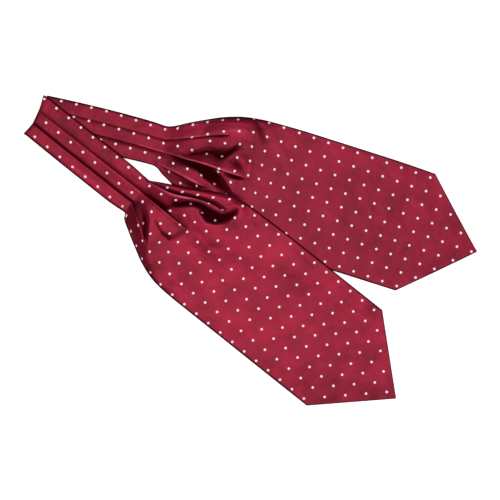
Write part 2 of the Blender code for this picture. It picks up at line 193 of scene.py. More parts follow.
FRONT = dict(
    y=-30.3,
    turn=-11.3,
    side=1,
    skew=0.0,
    corner=345.2,
    tip=430.8,
    shape=table(
        "s     edge_a  lip_a  lip_b  lip_c  edge_c",
        [
            (-178, -27.0, -9.6, 8.2, 28.2, 29.4),
            (-90, -28.2, -10.4, 8.2, 27.2, 28.8),
            (-30, -28.4, -10.6, 8.3, 26.6, 28.4),
            (-12, -27.5, -10.5, 8.4, 25.5, 27.2),
            (0, -26.6, -10.4, 8.6, 24.4, 26.6),
            (2, -26.9, -11.2, 8.5, 24.7, 27.5),
            (3.8, -31.9, -12.3, 8.3, 25.2, 28.5),
            (10, -37.1, -16.0, 8.0, 26.6, 32.1),
            (20, -43.1, -21.3, 7.8, 28.6, 37.3),
            (30, -49.1, -27.6, 7.6, 30.6, 42.4),
            (40, -54.6, -35.0, 7.4, 34.0, 47.6),
            (46, -58.0, -39.8, 7.3, 37.0, 50.7),
            (52, -61.4, -47.5, 7.2, 40.0, 53.7),
            (62, -66.0, -58.5, 7.1, 44.8, 59.2),
            (75, -70.8, -65.8, 7.2, 50.0, 66.4),
            (90, -74.3, -69.2, 8.5, 53.8, 74.6),
            (105, -75.7, -69.6, 10.0, 55.0, 78.9),
            (125, -76.4, -68.0, 10.0, 55.5, 81.4),
            (185, -76.7, -60.0, 6.0, 56.0, 82.8),
            (345.2, -77.4, -55.0, 4.0, 56.0, 82.6),
            (430.8, 1.8, 2.2, 2.6, 3.0, 3.4),
        ],
    ),
    rise=table(
        "s   rim_a over_a under_a over_b under_b over_c under_c rim_c",
        [
            (-178, 3.2, 4.0, 1.5, 4.0, 2.9, 3.8, 3.8, 3.2),
            (-90, 3.2, 4.0, 1.4, 4.0, 2.6, 3.8, 3.8, 3.2),
            (-12, 3.2, 4.0, 1.3, 4.0, 2.3, 3.8, 3.8, 3.2),
            (0, 3.0, 4.2, 1.6, 4.0, 2.0, 4.0, 2.2, 2.0),
            (6, 2.6, 6.6, 2.6, 4.9, 2.0, 4.4, 2.3, 2.1),
            (12, 2.4, 9.2, 5.2, 6.2, 2.0, 5.2, 2.4, 2.2),
            (20, 2.2, 11.2, 7.4, 8.2, 2.6, 6.8, 2.4, 2.2),
            (30, 2.2, 11.4, 7.8, 9.6, 3.4, 8.2, 2.4, 2.2),
            (40, 2.2, 10.6, 6.8, 9.8, 4.4, 8.8, 2.6, 2.2),
            (46, 2.2, 9.0, 7.4, 9.6, 7.0, 9.0, 2.8, 2.2),
            (52, 2.2, 8.4, 8.4, 9.2, 7.2, 9.2, 3.6, 2.2),
            (62, 2.2, 6.6, 6.6, 8.2, 6.4, 9.4, 4.0, 2.2),
            (75, 2.2, 4.6, 4.6, 7.0, 5.9, 9.6, 4.2, 2.2),
            (84, 2.2, 3.6, 3.6, 6.4, 6.4, 9.6, 4.0, 2.2),
            (92, 2.2, 3.1, 3.1, 6.2, 6.2, 9.2, 4.0, 2.2),
            (99, 2.2, 2.9, 2.9, 6.2, 6.2, 8.4, 3.4, 2.2),
            (105, 2.2, 2.8, 2.8, 6.1, 6.1, 6.4, 5.6, 2.2),
            (115, 2.2, 2.6, 2.6, 5.8, 5.8, 5.4, 5.4, 2.2),
            (130, 2.2, 2.4, 2.4, 5.0, 5.0, 4.4, 4.4, 2.2),
            (150, 2.2, 2.3, 2.3, 3.8, 3.8, 3.2, 3.2, 2.2),
            (175, 2.2, 2.2, 2.2, 2.8, 2.8, 2.4, 2.4, 2.2),
            (205, 2.2, 2.2, 2.2, 2.2, 2.2, 2.2, 2.2, 2.2),
            (430.8, 2.2, 2.2, 2.2, 2.2, 2.2, 2.2, 2.2, 2.2),
        ],
    ),
    net=dict(
        a=table(
            "s    m     mz   n     nz",
            [
                (-12, -25.0, 4.0, -14.0, 4.0),
                (0, -25.0, 4.0, -14.0, 4.2),
                (4, -27.0, 4.2, -15.0, 5.8),
                (10, -30.0, 5.4, -18.4, 8.2),
                (20, -34.0, 7.0, -23.8, 11.2),
                (30, -40.0, 6.8, -30.2, 11.4),
                (40, -46.0, 6.4, -37.4, 10.2),
                (46, -51.0, 5.6, -43.5, 8.0),
                (52, -57.0, 4.2, -51.0, 7.2),
                (62, -64.0, 3.2, -60.5, 5.4),
                (75, -69.4, 2.8, -67.3, 4.0),
                (92, -73.0, 2.5, -70.4, 3.0),
                (115, -74.0, 2.3, -71.0, 2.4),
                (150, -72.0, 2.2, -65.0, 2.2),
            ],
        ),
        b=table(
            "s    v     vz   p     pz   q    qz",
            [
                (-12, -9.6, 1.6, -7.6, 3.8, 5.0, 4.0),
                (0, -9.6, 1.6, -7.0, 3.8, 5.0, 4.0),
                (5, -9.0, 2.4, -4.0, 4.4, 5.0, 4.8),
                (12, -10.0, 4.4, -2.6, 5.8, 4.6, 5.8),
                (20, -12.0, 5.8, -4.0, 8.0, 4.2, 7.6),
                (30, -20.0, 6.2, -11.0, 9.4, 4.0, 8.9),
                (40, -31.0, 7.2, -24.0, 9.8, 3.0, 9.3),
                (46, -38.0, 7.3, -33.0, 9.8, 2.0, 9.3),
                (52, -46.2, 8.7, -43.5, 9.5, 2.0, 9.0),
                (62, -56.4, 6.9, -53.0, 7.6, 2.0, 8.0),
                (75, -64.6, 4.9, -61.0, 5.5, 2.0, 7.0),
                (84, -67.0, 3.8, -63.0, 4.3, 3.0, 6.4),
                (97, -68.2, 3.1, -63.0, 3.5, 4.0, 6.2),
                (115, -68.0, 2.7, -62.0, 2.9, 4.0, 5.8),
                (130, -66.0, 2.5, -60.0, 2.7, 4.0, 5.0),
                (150, -62.0, 2.3, -55.0, 2.5, 4.0, 3.8),
                (175, -62.0, 2.2, -55.0, 2.3, 4.0, 2.8),
                (205, -62.0, 2.2, -55.0, 2.2, 4.0, 2.2),
            ],
        ),
        c=table(
            "s    u     uz   w     wz   h     hz   k     kz",
            [
                (-12, 11.5, 3.8, 15.0, 4.0, 18.0, 4.0, 22.0, 4.0),
                (0, 12.5, 3.6, 16.0, 4.0, 18.0, 4.0, 22.0, 4.0),
                (10, 12.0, 3.2, 16.0, 4.9, 21.0, 5.2, 25.0, 5.3),
                (20, 12.2, 4.4, 16.5, 6.1, 23.0, 6.8, 26.5, 7.0),
                (30, 12.2, 5.2, 16.5, 6.9, 24.0, 7.8, 28.0, 8.2),
                (40, 12.2, 5.9, 16.5, 6.9, 22.5, 6.9, 28.5, 8.6),
                (46, 11.0, 7.4, 17.5, 7.4, 24.0, 5.3, 31.5, 8.6),
                (52, 10.4, 7.4, 21.5, 7.6, 27.8, 2.9, 35.5, 8.8),
                (60, 10.2, 6.8, 29.0, 7.8, 35.0, 2.0, 41.5, 9.0),
                (68, 10.0, 6.6, 35.5, 7.8, 40.8, 1.8, 46.0, 9.4),
                (76, 10.0, 6.3, 37.5, 7.8, 43.0, 1.8, 48.8, 9.6),
                (83, 10.0, 6.4, 33.5, 7.6, 40.0, 1.7, 50.5, 9.4),
                (92, 11.0, 6.2, 29.5, 7.4, 37.0, 1.7, 52.0, 9.0),
                (99, 12.0, 6.2, 32.0, 7.2, 40.0, 1.7, 52.8, 8.0),
                (104, 12.0, 6.1, 36.5, 6.8, 44.0, 1.7, 53.6, 6.6),
                (110, 12.0, 6.0, 41.5, 6.4, 50.0, 3.0, 54.0, 6.0),
                (118, 12.0, 5.7, 42.0, 6.0, 50.0, 5.8, 54.0, 5.4),
                (130, 12.0, 5.0, 42.0, 5.0, 50.0, 4.6, 54.0, 4.4),
                (150, 12.0, 3.8, 42.0, 3.5, 50.0, 3.3, 54.0, 3.2),
                (175, 12.0, 2.8, 42.0, 2.6, 50.0, 2.5, 54.0, 2.4),
                (205, 12.0, 2.2, 42.0, 2.2, 50.0, 2.2, 54.0, 2.2),
            ],
        ),
        d=table(
            "s    x     xz   y     yz   z     zz",
            [
                (-12, 24.9, 2.2, 25.2, 2.4, 25.4, 2.4),
                (0, 24.9, 2.2, 25.2, 2.4, 25.4, 2.4),
                (5, 26.0, 2.2, 27.0, 2.8, 27.6, 2.8),
                (10, 27.6, 2.2, 29.0, 3.4, 30.0, 3.4),
                (25, 31.2, 3.0, 34.4, 4.4, 38.0, 4.6),
                (40, 36.0, 3.6, 39.4, 5.8, 44.6, 5.6),
                (50, 41.0, 4.1, 44.4, 6.4, 50.4, 6.0),
                (60, 45.8, 4.4, 49.4, 6.8, 55.8, 6.2),
                (75, 52.5, 4.5, 56.4, 6.8, 62.6, 6.0),
                (90, 56.4, 4.3, 60.4, 6.4, 69.4, 5.2),
                (100, 57.2, 4.0, 61.0, 5.8, 72.4, 4.4),
                (108, 58.0, 5.2, 62.0, 5.2, 74.5, 3.6),
                (125, 60.0, 4.4, 64.0, 4.2, 76.0, 2.8),
                (150, 62.0, 3.1, 66.0, 2.9, 77.0, 2.3),
                (175, 62.0, 2.4, 66.0, 2.3, 77.0, 2.2),
                (205, 62.0, 2.2, 66.0, 2.2, 77.0, 2.2),
            ],
        ),
    ),
    lip_ends=dict(a=47, b=80, c=105),
    rows=table(
        "s   edge_a lip_a from_b lip_b from_c lip_c from_d edge_c",
        [
            (-178, -0.27, 0.67, 2.37, 3.32, 5.09, 6.16, 6.16, 6.22),
            (-110, -0.30, 0.67, 2.35, 3.32, 5.09, 6.13, 6.13, 6.20),
            (-60, -0.33, 0.63, 2.42, 3.43, 5.17, 6.16, 6.16, 6.24),
            (-30, -0.28, 0.68, 2.49, 3.50, 5.23, 6.22, 6.22, 6.30),
            (-12, -0.27, 0.65, 2.46, 3.47, 5.30, 6.24, 6.24, 6.32),
            (0, -0.20, 0.70, 2.30, 3.40, 5.35, 6.20, 7.66, 7.76),
            (10, -0.20, 0.85, 2.20, 3.45, 5.30, 6.30, 7.68, 7.96),
            (22, -0.20, 1.20, 1.85, 3.55, 5.20, 6.40, 7.75, 8.28),
            (40, -0.20, 1.35, 1.60, 3.75, 4.90, 6.45, 7.70, 8.40),
            (46, -0.20, 1.28, 1.32, 3.85, 4.70, 6.50, 7.68, 8.40),
            (52, -0.20, 0.80, 0.80, 3.90, 4.60, 6.50, 7.66, 8.40),
            (63, -0.20, 0.35, 0.35, 4.00, 4.35, 6.50, 7.65, 8.40),
            (80, -0.20, 0.05, 0.05, 4.15, 4.15, 7.00, 7.50, 8.40),
            (105, -0.20, 0.10, 0.10, 4.40, 4.40, 6.90, 6.95, 8.40),
        ],
    ),
    columns=table(
        "u    r0     r2     r4     r6     r8",
        [
            (-24, -193.0, -193.0, -193.0, -193.5, -193.5),
            (-22, -152.0, -152.0, -152.0, -153.0, -153.0),
            (-15, -6.0, -7.0, -9.0, -11.0, -11.0),
            (-14, 5.0, 12.0, 9.5, 5.0, 6.0),
            (-13, 22.5, 29.0, 27.5, 24.0, 25.0),
            (-12, 40.0, 45.0, 50.0, 44.0, 44.0),
            (-11, 56.0, 61.0, 68.0, 62.0, 62.0),
            (-10, 76.0, 78.0, 81.0, 81.0, 80.0),
            (-9, 96.0, 98.0, 100.0, 100.5, 98.0),
            (-8, 116.5, 118.0, 119.5, 120.0, 117.0),
            (-7, 136.8, 136.8, 136.8, 136.8, 136.8),
            (8, 436.3, 436.3, 436.3, 436.3, 436.3),
        ],
    ),
    lattice=((276.57, 1.88), (19.967, 0.0), (0.0, 18.533), 4),
    valleys=dict(b="v", c="h", d="x"),
    # patches of painted light, and of painted shade where the amount is negative
    painted_light_and_shade=[
        (100, 5, 40, 25, 0.40), (120, -60, 30, 16, 0.33), (135, -10, 30, 18, 0.20),
        (165, -22, 14, 14, 0.16), (165, 14, 22, 14, 0.22), (120, 68, 24, 12, 0.25),
        (240, 38, 22, 20, -0.30), (280, 44, 12, 16, 0.20), (310, 20, 14, 16, -0.20),
        (328, -22, 20, 14, 0.30), (332, -64, 34, 14, -0.32), (340, 70, 22, 14, 0.26),
        (385, -20, 25, 14, -0.40), (-100, -20, 50, 7, 0.22), (-85, 15, 25, 7, -0.35),
        (115, 5, 20, 10, -0.10), (121, 44, 9, 9, -0.40), (130, 16, 12, 6, -0.30),
        (130, 64, 10, 12, 0.22), (224, 57, 14, 12, 0.20), (271, 27, 12, 12, 0.20),
        (295, 57, 12, 12, 0.20), (345, -45, 16, 12, -0.22), (87, -57, 8, 6, -0.25),
        (141, -23, 8, 6, -0.20), (186, 15, 10, 8, -0.15), (66, 20, 12, 7, 0.50),
        (86, 15, 12, 7, 0.25), (31, 24, 8, 4, 0.40), (-131, 15, 20, 8, -0.30),
        (-58, -21, 25, 5, 0.30), (100, 74, 12, 4, 0.35), (-167, -10, 8, 20, -0.35),
    ],
    # painted highlights on the crests of folds; a line with negative amounts is painted shade
    shine=[
        [(2, 24, 0.4, 1.5), (20, 27.4, 0.9, 2.0), (35, 31.0, 1.2, 2.2), (52, 38.6, 1.2, 2.4),
         (75, 48.6, 1.2, 2.4), (102, 53.6, 1.1, 2.4)],
        [(2, -11.4, 0.5, 1.8), (20, -21.4, 0.55, 2.0), (43, -37.6, 0.45, 2.0)],
        [(-150, 7.2, 0.4, 1.3), (-20, 7.4, 0.5, 1.3), (30, 6.5, 0.5, 1.3), (60, 6.0, 0.6, 1.3),
         (76, 6.0, 0.4, 1.4)],
        [(30, 38, 0.3, 2.0), (60, 54, 0.4, 2.5), (80, 64, 0.4, 3.0), (102, 70, 0.3, 3.0)],
        [(84, 30, 0.2, 2.0), (93, 26, 0.4, 2.5), (104, 35, 0.3, 2.5)],
        # painted shade along edge A
        [(60, -66, -0.3, 2.5), (90, -74, -0.6, 2.5), (125, -76, -0.6, 2.0), (330, -77, -0.6, 2.0)],
    ],
    shade=[
        [(12, -14, 0.3, 3.0), (20, -19, 0.35, 3.0), (30, -26, 0.2, 3.0)],
        [(36, 11, 0.6, 4.0), (44, 18, 0.75, 4.0), (52, 27, 0.7, 4.0)],
        [(44, 9.0, 0.7, 1.8), (60, 8.6, 0.6, 1.5), (77, 8.6, 0.5, 1.5)],
        [(40, -11, 0.3, 1.5), (57, -16.5, 0.6, 1.6), (68, -17.0, 0.65, 1.8), (72, -12, 0.35, 2.8),
         (76, -2, 0.3, 3.0), (77, 4, 0.2, 3.0)],
        [(40, -54, 0.2, 2.0), (60, -65, 0.45, 2.5), (90, -74, 0.6, 2.5), (125, -76, 0.5, 1.8),
         (330, -77, 0.4, 1.6)],
    ],
    pits=[
        ("cd", [(84, 40, 1.8, 1.3, 3.5), (92, 39.5, 1.7, 1.3, 5.5), (99, 41.5, 1.7, 1.3, 5.2),
                (105, 45, 1.7, 1.3, 3.6), (110, 51.5, 1.7, 1.3, 3.0), (113, 58, 1.7, 1.3, 2.2),
                (115, 64, 1.9, 1.3, 1.4), (115, 68, 2.8, 1.2, 0.4)]),
    ],
    folds=[
        ("b", [(38, -9, -0.4, 1.4), (46, -12.5, -0.7, 1.4), (54, -15.5, -0.5, 1.6),
               (57.5, -17, -1.9, 1.4), (68.5, -17, -1.9, 1.4), (71, -14, -0.7, 2.2),
               (75, -7, -0.8, 3.4), (77, 4, -0.7, 3.2)]),
        ("b", [(57, -12.5, 0.2, 3.0), (63, -12.5, 0.9, 2.6), (68, -11, 0.4, 2.6)]),
        ("cd", [(103, 61, 0.3, 4), (106, 66, 1.0, 4), (109, 71, 1.4, 4), (114, 74, 1.0, 4),
                (121, 70, 0.5, 5)]),
        ("ab", [(122, -33, -0.35, 5), (146, -15, -0.35, 5)]),
        ("bc", [(120, 9, -0.3, 6), (146, 36, -0.3, 6)]),
        ("d", [(196, 74, -0.35, 3), (230, 74, -0.45, 3), (254, 70, -0.25, 4)]),
    ],
)

BACK = dict(
    y=44.4,
    turn=9.4,
    side=-1,
    skew=-0.0225,
    corner=350.7,
    tip=434.8,
    shape=table(
        "s     edge_a  lip_a  lip_b  lip_c  edge_c",
        [
            (-178, -17.0, 0.6, 17.6, 38.0, 39.2),
            (-150, -19.5, -1.2, 15.9, 36.2, 37.6),
            (-110, -22.5, -3.6, 13.5, 34.0, 35.4),
            (-67, -24.9, -6.0, 11.0, 31.2, 32.8),
            (-20, -26.2, -7.6, 9.4, 27.4, 29.2),
            (-5, -25.8, -7.8, 9.2, 26.6, 28.6),
            (0, -26.6, -7.9, 9.1, 26.0, 29.6),
            (10, -31.1, -10.2, 8.8, 26.8, 35.7),
            (20, -37.1, -13.8, 8.4, 28.3, 41.0),
            (30, -42.7, -18.4, 8.6, 29.9, 46.5),
            (40, -47.9, -23.2, 8.4, 32.0, 51.5),
            (50, -53.0, -27.8, 7.8, 34.2, 57.0),
            (60, -57.9, -32.4, 7.9, 35.2, 62.5),
            (75, -63.8, -37.6, 8.4, 35.8, 70.5),
            (90, -68.3, -41.0, 8.7, 37.0, 78.5),
            (105, -71.1, -43.5, 8.8, 40.0, 84.0),
            (125, -73.0, -45.0, 7.5, 43.0, 87.0),
            (185, -74.6, -45.5, 6.5, 48.0, 89.0),
            (280, -74.5, -45.2, 7.5, 56.0, 89.0),
            (350.7, -73.0, -45.0, 8.5, 62.0, 89.0),
            (434.8, 7.2, 7.6, 8.0, 8.4, 8.8),
        ],
    ),
    rise=table(
        "s   rim_a over_a under_a over_b under_b over_c under_c rim_c",
        [
            (-178, 3.2, 4.0, 3.0, 4.0, 2.6, 3.8, 3.8, 3.2),
            (-12, 3.2, 4.0, 3.0, 4.0, 2.4, 3.8, 3.8, 3.2),
            (0, 3.0, 4.0, 2.8, 4.0, 2.6, 4.0, 2.2, 2.0),
            (8, 2.8, 4.8, 3.8, 4.8, 2.8, 4.4, 2.2, 2.1),
            (16, 2.6, 6.2, 5.2, 6.2, 3.0, 4.7, 2.3, 2.2),
            (25, 2.4, 7.8, 6.8, 8.2, 3.0, 5.3, 2.3, 2.2),
            (40, 2.4, 9.2, 8.2, 10.6, 2.0, 6.2, 2.2, 2.2),
            (55, 2.4, 9.6, 8.4, 11.6, 2.0, 6.6, 1.9, 2.2),
            (66, 2.4, 9.3, 7.6, 11.7, 2.6, 5.6, 2.0, 2.2),
            (72, 2.4, 8.9, 7.2, 11.4, 3.2, 4.8, 2.2, 2.2),
            (76, 2.4, 8.6, 7.2, 11.2, 6.6, 4.4, 2.3, 2.2),
            (82, 2.4, 8.2, 8.2, 10.6, 8.0, 4.4, 2.3, 2.2),
            (87, 2.4, 7.7, 7.7, 10.0, 7.6, 3.9, 2.3, 2.2),
            (92, 2.3, 7.2, 7.2, 9.4, 5.6, 3.4, 2.3, 2.2),
            (105, 2.2, 5.8, 5.8, 7.6, 3.0, 2.4, 2.3, 2.2),
            (112, 2.2, 5.0, 5.0, 6.3, 3.4, 2.4, 2.3, 2.2),
            (118, 2.2, 4.2, 4.2, 5.0, 4.4, 2.3, 2.3, 2.2),
            (135, 2.2, 2.9, 2.9, 3.3, 3.3, 2.2, 2.2, 2.2),
            (165, 2.2, 2.2, 2.2, 2.2, 2.2, 2.2, 2.2, 2.2),
            (434.8, 2.2, 2.2, 2.2, 2.2, 2.2, 2.2, 2.2, 2.2),
        ],
    ),
    net=dict(
        a=table(
            "s    m     mz   n     nz",
            [
                (-12, -25.0, 4.0, -12.0, 4.0),
                (0, -25.0, 4.0, -12.0, 4.0),
                (8, -28.2, 4.5, -14.0, 4.7),
                (16, -32.4, 5.8, -16.0, 6.0),
                (25, -38.0, 7.0, -20.0, 7.7),
                (40, -45.2, 7.8, -28.0, 9.0),
                (55, -49.5, 7.2, -36.0, 9.4),
                (70, -55.0, 7.0, -42.0, 9.2),
                (85, -59.5, 6.4, -48.0, 8.0),
                (100, -63.5, 5.2, -52.0, 6.4),
                (112, -66.5, 3.9, -55.0, 5.0),
                (135, -68.0, 2.6, -58.0, 2.9),
                (165, -69.0, 2.2, -58.0, 2.2),
            ],
        ),
        b=table(
            "s    v     vz   g     gz   h     hz   j     jz   q    qz",
            [
                (-12, -5.6, 3.8, -3.0, 4.0, 0.0, 4.0, 3.0, 4.0, 6.0, 4.0),
                (0, -5.6, 3.8, -3.0, 4.0, 0.0, 4.0, 3.0, 4.0, 6.0, 4.0),
                (8, -7.0, 4.6, -5.0, 4.7, -1.0, 4.7, 3.0, 4.8, 6.5, 4.8),
                (16, -9.0, 5.9, -6.0, 6.1, -1.0, 6.1, 3.0, 6.2, 6.5, 6.2),
                (25, -13.0, 7.4, -8.0, 7.6, 0.0, 7.4, 4.0, 7.9, 6.5, 8.2),
                (34, -18.5, 8.4, -6.5, 8.6, 2.0, 6.8, 6.0, 9.2, 6.8, 9.8),
                (42, -23.0, 8.8, -7.5, 9.2, -1.0, 6.0, 4.6, 9.6, 6.6, 10.8),
                (50, -26.5, 8.8, -12.5, 9.4, -5.0, 6.4, 1.8, 9.6, 6.2, 11.3),
                (58, -29.3, 8.6, -18.5, 9.6, -9.0, 6.4, -1.2, 9.8, 6.0, 11.7),
                (66, -32.2, 8.2, -18.5, 9.6, -10.5, 6.0, -3.0, 9.6, 5.6, 11.7),
                (74, -35.2, 7.8, -15.0, 9.4, -9.0, 5.0, -2.6, 9.2, 5.5, 11.3),
                (80, -36.8, 7.7, -17.0, 9.2, -10.5, 3.6, -4.8, 8.6, 5.3, 10.8),
                (86, -38.5, 7.8, -22.5, 8.6, -17.0, 4.0, -11.0, 8.0, 5.2, 10.2),
                (92, -39.5, 7.2, -29.0, 7.6, -24.0, 4.2, -18.5, 7.2, 5.2, 9.4),
                (98, -40.5, 6.6, -33.0, 6.8, -29.0, 5.6, -24.0, 6.6, 5.3, 8.6),
                (108, -41.5, 5.4, -34.0, 5.4, -29.0, 5.4, -22.0, 5.6, 5.4, 7.0),
                (118, -42.0, 4.1, -34.0, 4.2, -29.0, 4.2, -22.0, 4.3, 5.2, 5.0),
                (135, -42.0, 2.9, -34.0, 2.9, -29.0, 2.9, -22.0, 3.0, 4.0, 3.3),
                (165, -42.0, 2.2, -34.0, 2.2, -29.0, 2.2, -22.0, 2.2, 4.0, 2.2),
            ],
        ),
        c=table(
            "s    t     tz   j     jz   r     rz   b     bz   f     fz   k     kz",
            [
                (-12, 10.0, 2.6, 10.6, 3.0, 11.4, 3.4, 12.2, 3.6, 14.0, 3.9, 22.0, 4.0),
                (0, 9.8, 2.8, 10.4, 2.9, 11.2, 3.0, 12.2, 3.4, 14.0, 3.8, 22.0, 4.0),
                (10, 9.5, 2.9, 10.4, 3.0, 11.6, 3.2, 13.0, 3.5, 16.0, 4.0, 23.0, 4.5),
                (20, 9.2, 3.0, 10.4, 3.0, 12.0, 3.2, 13.6, 3.8, 18.5, 5.0, 25.0, 5.6),
                (30, 9.2, 2.8, 10.4, 2.8, 12.0, 3.0, 13.6, 3.8, 18.5, 5.8, 27.0, 6.5),
                (40, 9.2, 2.0, 10.4, 2.2, 12.0, 2.6, 13.4, 3.4, 17.0, 5.8, 28.0, 7.1),
                (50, 9.2, 2.0, 10.4, 2.0, 12.0, 2.0, 13.4, 2.4, 18.0, 6.2, 30.0, 7.2),
                (60, 9.2, 2.2, 9.8, 2.2, 10.8, 2.2, 14.0, 1.8, 20.0, 6.6, 31.0, 7.2),
                (66, 9.2, 2.2, 10.2, 2.0, 11.6, 2.0, 15.5, 1.8, 22.5, 6.4, 31.0, 6.6),
                (72, 9.4, 3.0, 10.8, 3.0, 12.6, 2.4, 18.5, 1.8, 26.5, 5.8, 31.0, 5.6),
                (80, 9.8, 8.4, 11.8, 8.0, 15.0, 6.8, 22.5, 1.8, 31.5, 5.2, 34.0, 5.0),
                (87, 9.8, 7.4, 12.2, 7.6, 18.5, 7.0, 26.5, 1.8, 34.5, 4.4, 36.0, 4.2),
                (96, 10.8, 4.0, 13.8, 6.4, 25.5, 6.2, 31.0, 1.8, 36.5, 3.4, 37.5, 3.4),
                (104, 10.8, 2.6, 13.6, 5.8, 30.0, 5.2, 34.3, 1.9, 38.0, 2.5, 39.0, 2.5),
                (112, 10.0, 3.2, 12.2, 4.9, 31.5, 4.0, 35.7, 2.0, 39.0, 2.3, 40.0, 2.3),
                (118, 8.8, 3.7, 11.4, 4.3, 32.0, 3.4, 36.5, 2.1, 39.0, 2.2, 41.0, 2.2),
                (135, 8.0, 3.2, 11.0, 3.1, 32.0, 2.4, 36.5, 2.2, 39.0, 2.2, 42.0, 2.2),
                (165, 9.0, 2.2, 11.0, 2.2, 32.0, 2.2, 36.5, 2.2, 39.0, 2.2, 44.0, 2.2),
            ],
        ),
        d=table(
            "s    x     xz   y     yz",
            [
                (-12, 26.5, 2.2, 28.0, 2.4),
                (0, 26.5, 2.2, 28.0, 2.4),
                (10, 28.0, 2.8, 31.0, 3.2),
                (20, 29.8, 3.2, 33.0, 3.8),
                (30, 32.0, 3.2, 36.0, 4.0),
                (40, 34.6, 2.6, 39.0, 4.0),
                (50, 37.4, 1.7, 43.0, 4.0),
                (60, 38.6, 1.7, 44.0, 3.8),
                (80, 38.5, 2.0, 44.0, 2.3),
                (100, 42.0, 2.2, 48.0, 2.2),
                (125, 46.0, 2.2, 50.0, 2.2),
                (165, 50.0, 2.2, 56.0, 2.2),
            ],
        ),
    ),
    lip_ends=dict(a=80, b=117, c=66),
    rows=table(
        "s   edge_a lip_a from_b lip_b from_c lip_c from_d edge_c",
        [
            (-178, -0.16, 0.79, 2.92, 3.83, 5.72, 6.80, 6.80, 6.86),
            (-121, -0.13, 0.88, 2.90, 3.81, 5.72, 6.80, 6.80, 6.86),
            (-101, -0.11, 0.91, 2.89, 3.80, 5.72, 6.80, 6.80, 6.86),
            (-64, -0.17, 0.85, 2.84, 3.76, 5.70, 6.76, 6.76, 6.84),
            (-40, -0.22, 0.80, 2.82, 3.73, 5.67, 6.72, 6.72, 6.82),
            (-12, -0.26, 0.77, 2.80, 3.67, 5.66, 6.66, 6.66, 6.78),
            (0, -0.20, 0.80, 2.75, 3.66, 5.60, 6.55, 8.25, 8.45),
            (12, -0.20, 0.84, 2.62, 3.70, 5.50, 6.55, 7.97, 8.47),
            (19, -0.20, 0.88, 2.55, 3.72, 5.48, 6.55, 7.86, 8.50),
            (30, -0.20, 0.98, 2.32, 3.73, 5.45, 6.60, 7.66, 8.50),
            (37, -0.20, 1.11, 2.14, 3.74, 5.43, 6.65, 7.50, 8.52),
            (56, -0.20, 1.16, 1.60, 3.82, 5.30, 6.75, 7.92, 9.29),
            (72, -0.20, 1.30, 1.40, 3.98, 5.00, 6.65, 7.60, 9.30),
            (82, -0.20, 1.35, 1.35, 4.09, 4.80, 6.50, 7.00, 8.45),
            (100, -0.15, 1.36, 1.36, 4.24, 4.57, 6.30, 6.40, 8.40),
            (119, -0.08, 1.42, 1.42, 4.36, 4.36, 6.10, 6.10, 8.43),
        ],
    ),
    columns=table(
        "u    r0     r2     r4     r6     r8",
        [
            (-24, -184.5, -183.5, -182.5, -180.0, -180.0),
            (-22, -144.0, -143.0, -142.0, -139.5, -139.0),
            (-16, -23.0, -20.5, -20.0, -19.0, -19.0),
            (-15, -3.0, 0.0, 0.5, 1.0, 0.0),
            (-14, 12.0, 19.0, 20.0, 20.5, 18.5),
            (-13, 30.0, 38.0, 40.0, 40.5, 37.0),
            (-12, 47.0, 58.0, 59.5, 60.5, 58.5),
            (-11, 65.0, 77.5, 80.0, 80.0, 78.0),
            (-10, 84.0, 96.5, 100.5, 99.0, 98.0),
            (-9, 103.5, 112.0, 119.0, 119.0, 118.0),
            (-8, 124.0, 130.0, 133.5, 136.0, 135.0),
            (-7, 144.5, 148.5, 150.0, 151.0, 150.0),
            (-6, 165.8, 166.9, 168.0, 169.1, 170.1),
            (9, 465.9, 467.0, 468.1, 469.2, 470.2),
        ],
    ),
    lattice=((287.50, -11.61), (20.008, 0.429), (0.540, 18.618), 3),
    valleys=dict(b="h", c="b", d="x"),
    # patches of painted light, and of painted shade where the amount is negative
    painted_light_and_shade=[
        (86, -49, 26, 10, 0.45), (15, -6, 14, 8, 0.25), (90, 2, 10, 6, 0.28),
        (151, -40, 12, 12, 0.32), (165, 36, 22, 12, -0.25), (230, -5, 14, 14, -0.15),
        (250, -62, 32, 12, 0.42), (282, 40, 20, 18, -0.25), (335, -12, 10, 24, 0.38),
        (345, -62, 26, 16, 0.33), (348, 15, 12, 14, 0.25), (390, -25, 14, 10, 0.20),
        (410, 20, 16, 10, -0.20), (-150, 10, 30, 30, -0.20), (130, -19, 10, 14, -0.15),
        (378, -44, 24, 8, 0.25), (343, -41, 8, 10, -0.20), (358, 64, 14, 12, -0.22),
        (342, 42, 10, 8, 0.25), (321, 21, 12, 12, -0.20), (322, 82, 12, 6, 0.20),
        (24, 20, 10, 5, -0.50), (58, -18, 10, 5, -0.40), (14, -8, 5, 8, 0.30),
        (-60, 4, 30, 8, -0.25), (-148, -13, 14, 8, -0.50),
    ],
    # painted highlights on the crests of folds; a line with negative amounts is painted shade
    shine=[
        [(-30, 8.4, 0.6, 1.4), (20, 7.4, 1.1, 1.5), (60, 6.8, 1.2, 1.5), (90, 7.2, 1.1, 1.7),
         (117, 6.6, 0.6, 1.8)],
        [(-10, 25.4, 0.6, 1.4), (20, 27.0, 1.2, 1.5), (64, 34.0, 1.1, 1.5)],
        [(0, -9.0, 0.5, 1.3), (40, -24.6, 0.8, 1.4), (76, -39.0, 0.8, 1.5)],
        # painted shade along edge A
        [(10, -31, -0.4, 3.0), (60, -57, -0.5, 3.0), (105, -71, -0.6, 2.5), (126, -73, -0.3, 2.0)],
        [(106, -14, 0.3, 2.2), (116, -10, 0.4, 2.5), (121, 0, 0.3, 2.5)],
        [(64, 33, 0.3, 1.6), (84, 36.5, 0.4, 2.0)],
    ],
    shade=[
        [(66, 13, 0.8, 4.0), (78, 17.5, 1.0, 6.0), (88, 26, 1.0, 6.0), (96, 30, 0.8, 4.5),
         (104, 35, 0.4, 3.0)],
